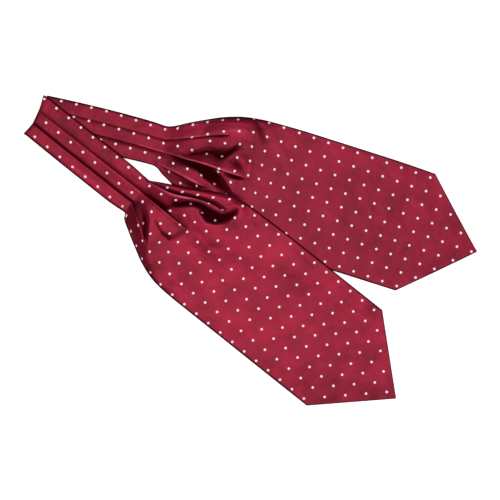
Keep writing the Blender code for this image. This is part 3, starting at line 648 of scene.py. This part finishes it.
        [(16, 32, 0.3, 3.0), (36, 37, 0.4, 3.0), (56, 38, 0.7, 2.5), (66, 36.5, 0.4, 2.0)],
        [(34, 1, 0.3, 5.0), (50, -5, 0.6, 5.0), (70, -13, 0.8, 5.0), (88, -21, 0.5, 4.0),
         (97, -30, 0.2, 3.0)],
        [(94, -11, 0.3, 3.0), (101, -6, 0.7, 3.2), (108, -2, 0.35, 3.0)],
        [(4, -8.4, 0.5, 1.2), (40, -22.4, 0.6, 1.3), (60, -31.0, 0.7, 1.8), (72, -35.2, 0.8, 2.2),
         (79, -38.0, 0.5, 1.6)],
        [(107, -66, 0.45, 3.0), (116, -58, 0.5, 3.6), (125, -45, 0.3, 4.5)],
        [(20, -36.4, 0.3, 2.0), (60, -56.4, 0.6, 2.8), (90, -67.0, 0.7, 3.2),
         (106, -70.2, 0.7, 3.0), (126, -72.6, 0.4, 1.8)],
    ],
    pits=[
        ("c", [(58, 15, 1.7, 1.3, 1.5), (66, 17.5, 1.7, 1.3, 4.0), (74, 19.5, 1.7, 1.3, 5.5),
               (84, 23.5, 1.7, 1.3, 4.5), (92, 28, 1.7, 1.2, 3.5), (100, 32, 1.7, 1.2, 1.5)]),
    ],
    folds=[
        ("b", [(92, -9, -0.8, 4), (101, -5, -2.6, 3.4), (108, -3, -1.2, 3)]),
        ("b", [(106, -14, 0.5, 5), (116, -9, 0.6, 5), (120, 0, 0.4, 5)]),
        ("ab", [(109, -69, -0.8, 4), (115, -62, -1.8, 5), (124, -50, -0.6, 6)]),
        ("ab", [(127, -63, 0.5, 6), (154, -38, 0.5, 6)]),
    ],
)

# Where the neck fold turns, as insets from its outermost line
FOLD_LINE = table("y inset", [(-24.0, 0.0), (-5.0, 4.2), (12.0, 3.6), (34.0, 0.0)])


def glide(x, xs, ys):
    """A smooth curve through a table's rows, with no overshoot between them."""
    steps = np.diff(xs)
    rates = np.diff(ys) / steps
    before, after = rates[:-1], rates[1:]
    bends = before * after > 0
    middle = np.where(bends, 2 * before * after / np.where(bends, before + after, 1.0), 0.0)
    slopes = np.concatenate([rates[:1], middle, rates[-1:]])
    i = np.clip(np.searchsorted(xs, x) - 1, 0, len(steps) - 1)
    t = np.clip((x - xs[i]) / steps[i], 0.0, 1.0)
    rise = steps[i] * (t * (1 - t) ** 2 * slopes[i] - t * t * (1 - t) * slopes[i + 1])
    return ys[i] + (ys[i + 1] - ys[i]) * t * t * (3 - 2 * t) + rise


def read(rows, column, s):
    return glide(s, rows["s"], rows[column])


def ease(t):
    t = np.clip(t, 0.0, 1.0)
    return t * t * (3 - 2 * t)


def passed(value, start, end):
    """How far a value has come from a start to an end, from 0 to 1 with soft ends."""
    return ease((value - start) / (end - start))


def to_flat(half, s, c):
    """The places on the table of points of a half."""
    a = radians(half["turn"])
    across = half["side"] * c
    return STITCH_X + s * cos(a) - across * sin(a), half["y"] + s * sin(a) + across * cos(a)


def to_half(half, x, y):
    """The stations and the places across it of points on the table."""
    a = radians(half["turn"])
    dx, dy = x - STITCH_X, y - half["y"]
    return dx * cos(a) + dy * sin(a), half["side"] * (dy * cos(a) - dx * sin(a))


def edge(half, name, s):
    """An outline edge or a lip, straight from the blade's corner to its tip."""
    rows = half["shape"]
    corner, tip = half["corner"], half["tip"]
    part = np.clip((s - corner) / (tip - corner), 0.0, 1.0)
    start = read(rows, name, np.minimum(s, corner))
    return start + (rows[name][-1] - start) * part


def outside(half, x, y):
    """How far points on the table lie outside a half, negative inside."""
    s, c = to_half(half, x, y)
    beside = np.maximum(edge(half, "edge_a", s) - c, c - edge(half, "edge_c", s))
    return np.maximum(beside, s - half["tip"])


def lay_height(x, y):
    """The height at which the front half lies on the back half."""
    s, _ = to_half(BACK, x, y)
    return LAY_BAND + (LAY_BLADE - LAY_BAND) * passed(s, LAY_FROM, LAY_TO)


def lift(half, x, y):
    """The height of a half's underside: nothing, or the back half's top with room for a seam."""
    if half is BACK:
        return np.zeros_like(x)
    return lay_height(x, y) * (1 - passed(outside(BACK, x, y), RAMP_FROM, RAMP_TO))


def covered(half, x, y, z):
    """Heights of the back half, kept under the front half where that lies on it."""
    if half is FRONT:
        return z
    under = ease((COVER - outside(FRONT, x, y)) / COVER)
    return z + (np.minimum(z, lay_height(x, y) - SEAM) - z) * under


def nearest(points, s, c):
    """How far each spot is from a line of points, and the line's own values where it is nearest."""
    best = np.full(np.shape(c), np.inf)
    values = [np.zeros(np.shape(c)) for _ in points[0][2:]]
    for start, end in zip(points, points[1:]):
        ds, dc = end[0] - start[0], end[1] - start[1]
        t = np.clip(((s - start[0]) * ds + (c - start[1]) * dc) / (ds ** 2 + dc ** 2), 0, 1)
        off = (s - start[0] - t * ds) ** 2 + (c - start[1] - t * dc) ** 2
        near = off < best
        best = np.where(near, off, best)
        values = [np.where(near, a + (b - a) * t, value) for a, b, value in zip(start[2:], end[2:], values)]
    return np.sqrt(best), values


def crease(points, s, c):
    """The height that one soft ridge or trough adds."""
    far, (height, wide) = nearest(points, s, c)
    far = far / wide
    (much, soft), (less, steep) = TROUGH
    trough = much * np.exp(-far * soft) - less * np.exp(-far * steep)
    return height * np.where(height > 0, np.exp(-far ** 2), trough)


def fold_height(half, band, s, c):
    """All the soft ridges and troughs of one band of the gathered cloth."""
    height = np.zeros(np.shape(c))
    if s > 0:
        for bands, points in half["folds"]:
            if band in bands:
                height += crease(points, s, c)
    return height


def sunk(half, band, s, c, z):
    """The cloth's height where it falls into a pit."""
    for bands, points in half["pits"]:
        if band in bands and points[0][0] - PIT_SPAN < s < points[-1][0] + PIT_SPAN:
            far, (bottom, slope, flat) = nearest(points, s, c)
            z = np.minimum(z, bottom + slope * np.maximum(far - flat, 0.0) + PIT_DISH * far)
    return z


def ripple(s, c):
    """The slight unevenness of satin that has been worn and pressed: long waves that wander."""
    along = np.sin(s / WAVE_S + WANDER_S * np.sin(c / WANDER_OVER_C))
    across = np.sin(c / WAVE_C + WANDER_C * np.sin(s / WANDER_OVER_S))
    return RIPPLE * along * across * passed(s, RIPPLE_FROM, RIPPLE_TO)


def band_profile(half, band, s, c, left, right, low, high):
    """A band's height across: straight between its fold lines, with each fold rounded over."""
    places, heights = [left], [low]
    net = half["net"].get(band)
    if net:
        station = max(s, ARM_START)
        moved = left - edge(half, LEFT_LINE[band], max(s, 0.0)) - (EDGE_ROUND if band == "a" else 0.0)
        columns = [name for name in net if name != "s"]
        for place, height in zip(columns[::2], columns[1::2]):
            line = float(read(net, place, station)) + (moved if s < 0 else 0.0)
            places.append(min(max(line, places[-1] + LINE_GAP), right - LINE_GAP))
            heights.append(float(read(net, height, station)))
    places.append(right)
    heights.append(high)
    rounded = sum(share * np.interp(c + off, places, heights) for off, share in ROUNDING)
    return np.minimum(rounded, np.interp(c, places, heights))


def upper_side(half, band, s, c, left, right, low, high, step=0.0):
    """The height of a band's cloth with its folds and pits, and the step that a closed lip leaves."""
    z = band_profile(half, band, s, c, left, right, low, high)
    z = z + step * np.exp(-np.maximum(c - left, 0.0) / CARRY)
    z = sunk(half, band, s, c, z + fold_height(half, band, s, c))
    return np.maximum(z, THIN)


def places_across(half, band, s, left, right, count):
    """Places across a band: evenly apart, with three close together in its valley."""
    c = np.linspace(left, right, count)
    valley = half["valleys"].get(band)
    if valley:
        middle = float(read(half["net"][band], valley, max(s, ARM_START)))
        if s < 0:
            middle += left - edge(half, LEFT_LINE[band], 0.0)
        c = np.sort(np.concatenate([c, np.clip(middle + VALLEY_SPOTS, left, right)]))
    return c


def at_station(rows, s):
    """Every value of a table at one station."""
    return {name: read(rows, name, s) for name in rows if name != "s"}


def rolled_lip(right, z, row, radius):
    """A lip's round edge, from the end of the band above it round to its underside."""
    turn = np.linspace(0, pi, ROLL + 1)[1:]
    c = right - radius + radius * np.sin(turn)
    return c, z - radius + radius * np.cos(turn), row + radius * turn / ROW_PITCH


def pocket(right, radius, depth, drop, step, top, floor, row_roof, row_floor):
    """The pocket under a lip: its roof going in under the band, and its floor coming out again."""
    back = np.linspace(right - radius, right - depth, POCKET + 1)[1:]
    fore = np.linspace(right - depth, right, POCKET + 1)[:-1]
    opened = ease(drop)
    floor_z = floor(fore) + step
    roof_z = top(back) - 2 * radius - POCKET_FLOOR * opened
    roof_z = np.maximum(roof_z, floor_z[::-1] + POCKET_ROOF * opened)
    floor_z = np.minimum(floor_z, roof_z[::-1] - POCKET_FLOOR * opened)
    roof = (back, roof_z, row_roof + (right - radius - back) / ROW_PITCH)
    return [roof, (fore, floor_z, row_floor - (right - fore) / ROW_PITCH)]


def section(half, s, lips):
    """The upper side across a half: its places, heights and cloth rows, and the round of its edges."""
    rise, rows = at_station(half["rise"], s), at_station(half["rows"], s)
    bounds = [edge(half, line, s) for line in ["edge_a"] + ["lip_" + lip for lip in lips] + ["edge_c"]]
    shrink = min(1.0, (bounds[-1] - bounds[0]) / NARROW)
    inset = EDGE_ROUND * shrink
    bounds[0] += inset
    bounds[-1] -= inset
    lows = [rise["rim_a"]] + [rise["under_" + lip] for lip in lips]
    highs = [rise["over_" + lip] for lip in lips] + [rise["rim_c"]]
    in_arm = len(lips) == 2
    counts = ARM_POINTS if in_arm else BAND_POINTS
    names = "abcd"[: len(lips) + 1]
    step = 0.0
    parts = []
    for k, name in enumerate(names):
        left, right = bounds[k], bounds[k + 1]
        last = k == len(lips)
        here = dict(left=left, right=right, low=lows[k], high=highs[k], step=step)
        top = partial(upper_side, half, name, s, **here)
        radius = 0.0
        if not last:
            after = dict(left=right, right=bounds[k + 2], low=lows[k + 1], high=highs[k + 1])
            floor = partial(upper_side, half, names[k + 1], s, **after)
            drop = float(top(np.array([right]))[0] - floor(np.array([right]))[0])
            closed = ease((s - half["lip_ends"][name] + LIP_FADE) / LIP_FADE)
            step = drop * closed if drop > 0 else drop
            drop = max(drop - step, 0.0)
            radius = min(LIP_ROUND, LIP_SHARE * drop) * shrink
        c = places_across(half, name, s, left, right - radius, counts[name])
        z = top(c)
        row_left = rows["edge_a" if k == 0 else "from_" + name]
        row_right = rows["edge_c" if last and not in_arm else "lip_" + name]
        row = row_left + (row_right - row_left) * (c - left) / max(right - left, 1e-6)
        parts.append((c, z, row))
        if not last:
            depth = (radius + min(TUCK, TUCK_SHARE * (right - left)) * ease(drop / TUCK_DROP)) * shrink
            roll = rolled_lip(right, z[-1], row[-1], radius)
            row_floor = rows["from_" + names[k + 1]]
            parts += [roll] + pocket(right, radius, depth, drop, step, top, floor, roll[2][-1], row_floor)
    return *(np.concatenate(column) for column in zip(*parts)), inset


def sunken(c, z):
    """How deep each spot of a section lies below the cloth on both of its sides."""
    gap = c[None, :] - c[:, None]
    heights = np.broadcast_to(z[None, :], gap.shape)
    before = np.where((gap <= SHADE_NEAR) & (gap >= -SHADE_REACH), heights, -1.0).max(axis=1)
    after = np.where((gap >= -SHADE_NEAR) & (gap <= SHADE_REACH), heights, -1.0).max(axis=1)
    return np.maximum(np.minimum(before, after) - z, 0.0)


def placed_shade(half, s, c):
    """How deep the shade lies that is placed along the listed lines."""
    amount = np.zeros(np.shape(c))
    for points in half["shade"]:
        far, (much, reach) = nearest(points, s, c)
        amount = np.maximum(amount, much * np.exp(-((far / reach) ** 2)))
    return amount


def shade_across(half, s, c, z):
    """How dark each spot of a section is: low between folds, on the rim, or in the shade placed along the
    listed lines.
    """
    low = passed(sunken(c, z), SHADE_FROM, SHADE_FULL)
    rim = RIM_SHADE * (1 - np.minimum(np.minimum(c - c[0], c[-1] - c) / RIM_REACH, 1.0))
    return np.maximum(np.maximum(low, rim), placed_shade(half, s, c))


def painted_light_and_shade_at(half, s, c):
    """How much lighter or darker the satin is painted at some spots: patches of painted light and shade,
    and the shine lines.
    """
    amount = np.zeros(np.shape(c))
    for at, across, reach, wide, much in half["painted_light_and_shade"]:
        amount += much * np.exp(-(((s - at) / reach) ** 2) - ((c - across) / wide) ** 2)
    for points in half["shine"]:
        far, (much, reach) = nearest(points, s, c)
        amount += much * np.exp(-((far / reach) ** 2))
    return amount


def rows_of(half, s, c, v):
    """The cloth's own rows, which turn into the straight lattice of the flat blade."""
    (s0, c0), (su, cu), (sv, cv), first = half["lattice"]
    straight = first + (su * (c - c0) - cu * (s - s0)) / (su * cv - sv * cu)
    return v + (straight - v) * passed(s, LATTICE_FROM, LATTICE_TO)


def columns_of(half, s, v):
    """The cloth's own columns at a station, for points at given rows. The table has every second row."""
    table_u = half["columns"]
    at_row = [np.interp(s, table_u[name], table_u["u"]) for name in ("r0", "r2", "r4", "r6", "r8")]
    place = np.clip(v, 0, 8) / 2
    low = np.minimum(place.astype(int), 3)
    part = place - low
    return np.choose(low, at_row[:-1]) * (1 - part) + np.choose(low, at_row[1:]) * part


def underside(half, c, z, spot):
    """Places across the lower side of a section and their heights, a wall below the lowest cloth near."""
    under_c = np.linspace(c[0], c[-1], 2 * UNDER_POINTS + 1)
    near = np.array([z[np.abs(c - value) <= WALL_REACH + 1e-6].min() for value in under_c])
    window = 2 * SMOOTH + 1
    even = np.convolve(np.pad(near, SMOOTH, mode="edge"), np.ones(window) / window, mode="valid")
    near = np.minimum(even, near)
    x, y = to_flat(half, spot(under_c), under_c)
    return under_c, np.maximum(lift(half, x, y), near - WALL)


def ring(half, lips, s, spot):
    """One closed section from the centre of the underside round edge A, over the cloth, and round edge C.

    It gives the points, the cloth's own column and row at each, and its painted shade and painted light.
    """
    c, z, v, inset = section(half, s, lips)
    x, y = to_flat(half, spot(c), c)
    base = lift(half, x, y)
    z = covered(half, x, y, base + z + ripple(s, c))
    v = rows_of(half, s, c, v)
    under_c, under_z = underside(half, c, z, spot)
    left, right, mid = c[0], c[-1], UNDER_POINTS
    row_a = v[0] - inset * pi / ROW_PITCH - (under_c[: mid + 1] - left) / ROW_PITCH
    row_c = v[-1] + inset * pi / ROW_PITCH + (right - under_c[mid:]) / ROW_PITCH
    turn = np.linspace(0, pi, EDGE_POINTS + 2)[1:-1]
    out, up = inset * np.sin(turn), (1 - np.cos(turn)) / 2
    parts = [
        (under_c[mid::-1], under_z[mid::-1], row_a[::-1]),
        (left - out, under_z[0] + (z[0] - under_z[0]) * up, v[0] - inset * (pi - turn) / ROW_PITCH),
        (c, z, v),
        (right + out, z[-1] - (z[-1] - under_z[-1]) * up, v[-1] + inset * turn / ROW_PITCH),
        (under_c[mid:][::-1], under_z[mid:][::-1], row_c[::-1]),
    ]
    all_c, all_z, all_v = (np.concatenate(column) for column in zip(*parts))
    plain = np.zeros(mid + 1)
    rim = np.full(EDGE_POINTS, RIM_SHADE)
    shade = np.concatenate([plain, rim, shade_across(half, s, c, z - base), rim, plain])
    all_s = spot(all_c)
    all_x, all_y = to_flat(half, all_s, all_c)
    all_u = columns_of(half, all_s if s < 0 else np.full(len(all_c), s), all_v)
    points = np.stack([all_x, all_y, all_z], 1)
    return points, np.stack([all_u, all_v], 1), np.stack([shade, painted_light_and_shade_at(half, all_s, all_c)], 1)


def fold_station(half, c, gap):
    """Where lines across a neckband meet the neck fold's axis, which bows a little along Y."""
    a = radians(half["turn"])
    s = np.full(np.shape(c), half["shape"]["s"][0])
    for _ in range(SETTLE):
        _, y = to_flat(half, s, c)
        x = NECK_FOLD_X + FOLD_RADIUS + glide(y, FOLD_LINE["y"], FOLD_LINE["inset"]) + gap
        s = (x - STITCH_X + half["side"] * c * sin(a)) / cos(a)
    return s


def band_rings(half, gap, steps=70):
    """Sections of a neckband from its stitches to the neck fold."""
    far = half["shape"]["s"][0]
    rings = []
    for part in np.linspace(0, 1, steps + 1):
        rings.append(ring(half, "ab", part * far, lambda c: fold_station(half, c, gap) * part))
    return rings


def nose_rings(last, steps=14):
    """The neck fold: the front neckband's last section, turned down and under about the fold's axis."""
    points, cloth, looks = last
    uppers = slice(UNDER_POINTS + 1, len(points) - UNDER_POINTS - 1)
    rings = []
    for i in range(1, steps + 1):
        turn = pi * i / steps
        reach = points[:, 2] - FOLD_RADIUS
        reach[uppers] += (FOLD_RADIUS - reach[uppers]) * ease(2 * i / steps) * FOLD_FLATTEN
        x = points[:, 0] - reach * sin(turn)
        z = FOLD_RADIUS + reach * cos(turn)
        moved = cloth.copy()
        moved[:, 0] -= turn * FOLD_RADIUS / COLUMN_PITCH
        rings.append((np.stack([x, points[:, 1], z], 1), moved, looks))
    return rings


def blade_rings(half):
    """Sections of a blade from the stitches to its tip."""
    corner, tip = half["corner"], half["tip"]
    stations = list(np.arange(0.0, GATHER_TO, GATHER_STEP))
    stations += list(np.linspace(GATHER_TO, corner, BLADE_STEPS))
    stations += [corner + (tip - corner) * part for part in TIP_STEPS]
    rings = []
    for s in stations:
        grown = passed(s, GATHER_TO, corner)
        skew = half["skew"] * (grown if s <= corner else (tip - s) / (tip - corner))
        rings.append(ring(half, "abc", s, lambda c, s=s, skew=skew: s + skew * c))
    return rings


def cloth_tube(name, rings, material, turned):
    """A closed tube of cloth: a grid rolled up through the rings, its seam welded and its ends closed."""
    across, along = len(rings[0][0]), len(rings)
    bm = bmesh.new()
    bmesh.ops.create_grid(bm, x_segments=across - 1, y_segments=along - 1, size=1.0)
    cloth = bm.loops.layers.uv.new("cloth")
    # depth carries the painted shade: low between folds, on the rim and along the shade lines
    depth = bm.verts.layers.float.new("depth")
    # each point also carries its patches of painted light and shade
    painted_light_and_shade = bm.verts.layers.float.new("painted_light_and_shade")

    def place(vert):
        return round((vert.co.y + 1) / 2 * (along - 1)), round((vert.co.x + 1) / 2 * (across - 1))

    for face in bm.faces:
        for loop in face.loops:
            j, i = place(loop.vert)
            loop[cloth].uv = rings[j][1][i]
    for vert in bm.verts:
        j, i = place(vert)
        vert.co = Vector(rings[j][0][i]) * MM
        vert[depth], vert[painted_light_and_shade] = rings[j][2][i]
    bmesh.ops.remove_doubles(bm, verts=bm.verts, dist=1e-7)
    for face in bm.faces:
        face.smooth = True
    ends = [e for e in bm.edges if e.is_boundary]
    for e in ends:
        e.smooth = False
    bmesh.ops.holes_fill(bm, edges=ends, sides=0)
    bmesh.ops.recalc_face_normals(bm, faces=bm.faces)
    mesh = bpy.data.meshes.new(name)
    bm.to_mesh(mesh)
    bm.free()
    mesh.materials.append(material)
    # how much darker this piece's satin is painted
    nap_shade = mesh.attributes.new("nap_shade", "FLOAT", "POINT")
    nap_shade.data.foreach_set("value", np.full(len(mesh.vertices), turned))
    piece = bpy.data.objects.new(name, mesh)
    bpy.context.scene.collection.objects.link(piece)
    return piece


def feed(tree, socket, value):
    """Gives a shader socket a value, or a link from another socket."""
    if isinstance(value, bpy.types.NodeSocket):
        tree.links.new(value, socket)
    else:
        socket.default_value = value


def node(tree, kind, **sockets):
    """A shader node with values or links on its named sockets."""
    made = tree.nodes.new(kind)
    for name, value in sockets.items():
        feed(tree, made.inputs[name.replace("_", " ")], value)
    return made


def maths(tree, operation, *values, clamp=False):
    made = tree.nodes.new("ShaderNodeMath")
    made.operation = operation
    made.use_clamp = clamp
    for socket, value in zip(made.inputs, values):
        feed(tree, socket, value)
    return made.outputs[0]


def eased(tree, value, low, high, start=0.0, end=1.0):
    """A socket taken softly from start to end while the value goes from low to high."""
    made = tree.nodes.new("ShaderNodeMapRange")
    made.interpolation_type = "SMOOTHSTEP"
    for socket, given in zip(made.inputs, (value, low, high, start, end)):
        feed(tree, socket, given)
    return made.outputs[0]


def mixed(tree, part, first, second):
    """A colour between two others."""
    made = tree.nodes.new("ShaderNodeMix")
    made.data_type = "RGBA"
    for place, value in ((0, part), (6, first), (7, second)):
        feed(tree, made.inputs[place], value)
    return made.outputs[2]


def carried(tree, name):
    """A value that the cloth's own points carry."""
    made = tree.nodes.new("ShaderNodeAttribute")
    made.attribute_name = name
    return made.outputs["Fac"]


def woven_dots(tree, cloth):
    """One on the dots and nothing between them, at the crossings of the cloth's own columns and rows."""
    place = node(tree, "ShaderNodeSeparateXYZ", Vector=cloth)
    squares = []
    for axis, pitch in enumerate((COLUMN_PITCH, ROW_PITCH)):
        off = maths(tree, "MULTIPLY", maths(tree, "WRAP", place.outputs[axis], 0.5, -0.5), pitch)
        squares.append(maths(tree, "MULTIPLY", off, off))
    return eased(tree, maths(tree, "SQRT", maths(tree, "ADD", *squares)), DOT_FULL, DOT_END, 1.0, 0.0)


def satin_tone(tree, mottle):
    """The satin's red, by how it lies to the light, with painted light and shade, a painted highlight on
    crests, and the painted shade of each piece.
    """
    lie = maths(tree, "MULTIPLY_ADD", mottle, MOTTLE, MOTTLE_LOW)
    # painted light and shade in patches, added to the satin's tone
    lie = maths(tree, "ADD", lie, carried(tree, "painted_light_and_shade"))
    tone = mixed(tree, maths(tree, "ADD", lie, 0.0, clamp=True), SATIN_DARK, SATIN_LIGHT)
    # painted highlight on crests, where the painted light passes the light satin
    crest = maths(tree, "SUBTRACT", lie, 1.0, clamp=True)
    tone = mixed(tree, maths(tree, "MULTIPLY", crest, CREST_LIGHT), tone, PAINTED_HIGHLIGHT)
    return mixed(tree, carried(tree, "nap_shade"), tone, SATIN_NAP_SHADE)


def fold_light(tree, dot):
    """How much light the cloth gets in its folds, less the painted shade that the points carry as depth. A
    dot never loses all of it.
    """
    opening = node(tree, "ShaderNodeAmbientOcclusion", Distance=OPEN_REACH)
    opening.samples = 12
    sky = eased(tree, opening.outputs["AO"], OPEN_NONE, OPEN_FULL)
    light = maths(tree, "MULTIPLY", sky, maths(tree, "SUBTRACT", 1.0, carried(tree, "depth")))
    return maths(tree, "MAXIMUM", light, maths(tree, "MULTIPLY", dot, DOT_LEAST))


def satin_relief(tree, place, cloth):
    """The normal of satin that lies softly uneven, with its fine threads."""
    threads = node(tree, "ShaderNodeMapping", Vector=cloth, Scale=WEAVE_SCALE).outputs[0]
    weave = node(tree, "ShaderNodeTexNoise", Vector=threads, Scale=1.0, Detail=2.0, Roughness=0.5)
    lie = node(tree, "ShaderNodeTexNoise", Vector=place, Scale=LIE_SCALE, Detail=2.5, Roughness=0.55)
    soft = node(tree, "ShaderNodeBump", Strength=1.0, Distance=LIE_DEPTH, Height=lie.outputs["Fac"])
    fine = node(tree, "ShaderNodeBump", Strength=WEAVE_STRENGTH, Distance=WEAVE_DEPTH,
                Height=weave.outputs["Fac"], Normal=soft.outputs[0])
    return fine.outputs[0]


def dotted_satin():
    """Burgundy satin with woven white dots that follow the cloth's own rows and columns."""
    material = bpy.data.materials.new("dotted_satin")
    material.use_nodes = True
    tree = material.node_tree
    cloth = node(tree, "ShaderNodeUVMap")
    cloth.uv_map = "cloth"
    place = node(tree, "ShaderNodeTexCoord").outputs["Object"]
    mottle = node(tree, "ShaderNodeTexNoise", Vector=place, Scale=MOTTLE_SCALE, Detail=3.5, Roughness=0.55)
    mottle = mottle.outputs["Fac"]
    dot = woven_dots(tree, cloth.outputs[0])
    light = fold_light(tree, dot)
    deep = maths(tree, "SUBTRACT", 1.0, light)
    colour = mixed(tree, dot, satin_tone(tree, mottle), DOT_WHITE)
    metal = maths(tree, "MULTIPLY_ADD", dot, DOT_METAL - SATIN_METAL, SATIN_METAL)
    rough = maths(tree, "MULTIPLY_ADD", mottle, MOTTLE_ROUGH, SATIN_ROUGH)
    rough = maths(tree, "MULTIPLY_ADD", dot, DOT_ROUGH, rough)
    for name, value in {
        # Painted shade: where the folds get little light, the colour goes to the fold shade and metal and
        # roughness rise
        "Base Color": mixed(tree, light, PAINTED_FOLD_SHADE, colour),
        "Metallic": maths(tree, "MAXIMUM", metal, maths(tree, "MULTIPLY", deep, DEEP_METAL), clamp=True),
        "Roughness": maths(tree, "MULTIPLY_ADD", deep, DEEP_ROUGH, rough, clamp=True),
        "Specular IOR Level": 0.10,
        "Sheen Weight": 0.03,
        "Sheen Roughness": 0.4,
        "Sheen Tint": SHEEN_TINT,
        "Normal": satin_relief(tree, place, cloth.outputs[0]),
    }.items():
        feed(tree, tree.nodes["Principled BSDF"].inputs[name], value)
    return material


def white_floor():
    """A plain white surface under the cravat, which glows a little like a lit table."""
    material = bpy.data.materials.new("white_floor")
    material.use_nodes = True
    shader = material.node_tree.nodes["Principled BSDF"]
    shader.inputs["Base Color"].default_value = FLOOR_WHITE
    shader.inputs["Roughness"].default_value = 0.9
    shader.inputs["Specular IOR Level"].default_value = 0.1
    shader.inputs["Emission Color"].default_value = WHITE
    shader.inputs["Emission Strength"].default_value = FLOOR_GLOW
    bm = bmesh.new()
    bmesh.ops.create_grid(bm, x_segments=1, y_segments=1, size=FLOOR_HALF)
    bmesh.ops.translate(bm, verts=bm.verts, vec=(0.0, 0.0, -FLOOR_DROP))
    mesh = bpy.data.meshes.new("floor")
    bm.to_mesh(mesh)
    bm.free()
    mesh.materials.append(material)
    floor = bpy.data.objects.new("floor", mesh)
    bpy.context.scene.collection.objects.link(floor)


def studio():
    """A broad soft light straight above, a dim room, and the camera that looks straight down."""
    scene = bpy.context.scene
    scene.view_settings.view_transform = "Standard"
    softbox = bpy.data.lights.new("softbox", "AREA")
    softbox.shape = "DISK"
    softbox.size = SOFTBOX_SIZE
    softbox.energy = SOFTBOX_WATTS
    above = bpy.data.objects.new("softbox", softbox)
    above.location = (*CENTRE, SOFTBOX_HEIGHT)
    scene.collection.objects.link(above)
    world = bpy.data.worlds.new("room")
    world.use_nodes = True
    world.node_tree.nodes["Background"].inputs["Color"].default_value = WHITE
    world.node_tree.nodes["Background"].inputs["Strength"].default_value = ROOM_LIGHT
    scene.world = world
    lens = bpy.data.cameras.new("camera")
    lens.lens = LENS
    lens.sensor_width = SENSOR
    lens.clip_start = 0.05
    camera = bpy.data.objects.new("camera", lens)
    camera.location = (*CENTRE, VIEW_WIDTH * LENS / SENSOR + CLOTH_TOP)
    camera.rotation_euler = (0.0, 0.0, radians(VIEW_TURN))
    scene.collection.objects.link(camera)
    scene.camera = camera


white_floor()
studio()
satin = dotted_satin()
front_band = band_rings(FRONT, 0.0)
front_band += nose_rings(front_band[-1])
# The last value of each piece is its share of painted shade, for satin turned from the light
for name, rings, flat, area, held, rests_on, turned in (
    ("front_blade", blade_rings(FRONT), (0.162, 0.432), 0.0630, "laid", ["back_blade"], 0.0),
    ("back_blade", blade_rings(BACK), (0.162, 0.436), 0.0635, "laid", [], 0.22),
    ("front_neckband", front_band, (0.070, 0.185), None, "folded", ["back_neckband"], 0.04),
    ("back_neckband", band_rings(BACK, SEAM), (0.070, 0.172), None, "folded", [], 0.16),
):
    piece = cloth_tube(name + "_cloth", rings, satin, turned)
    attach(piece, "root")
    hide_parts(name)
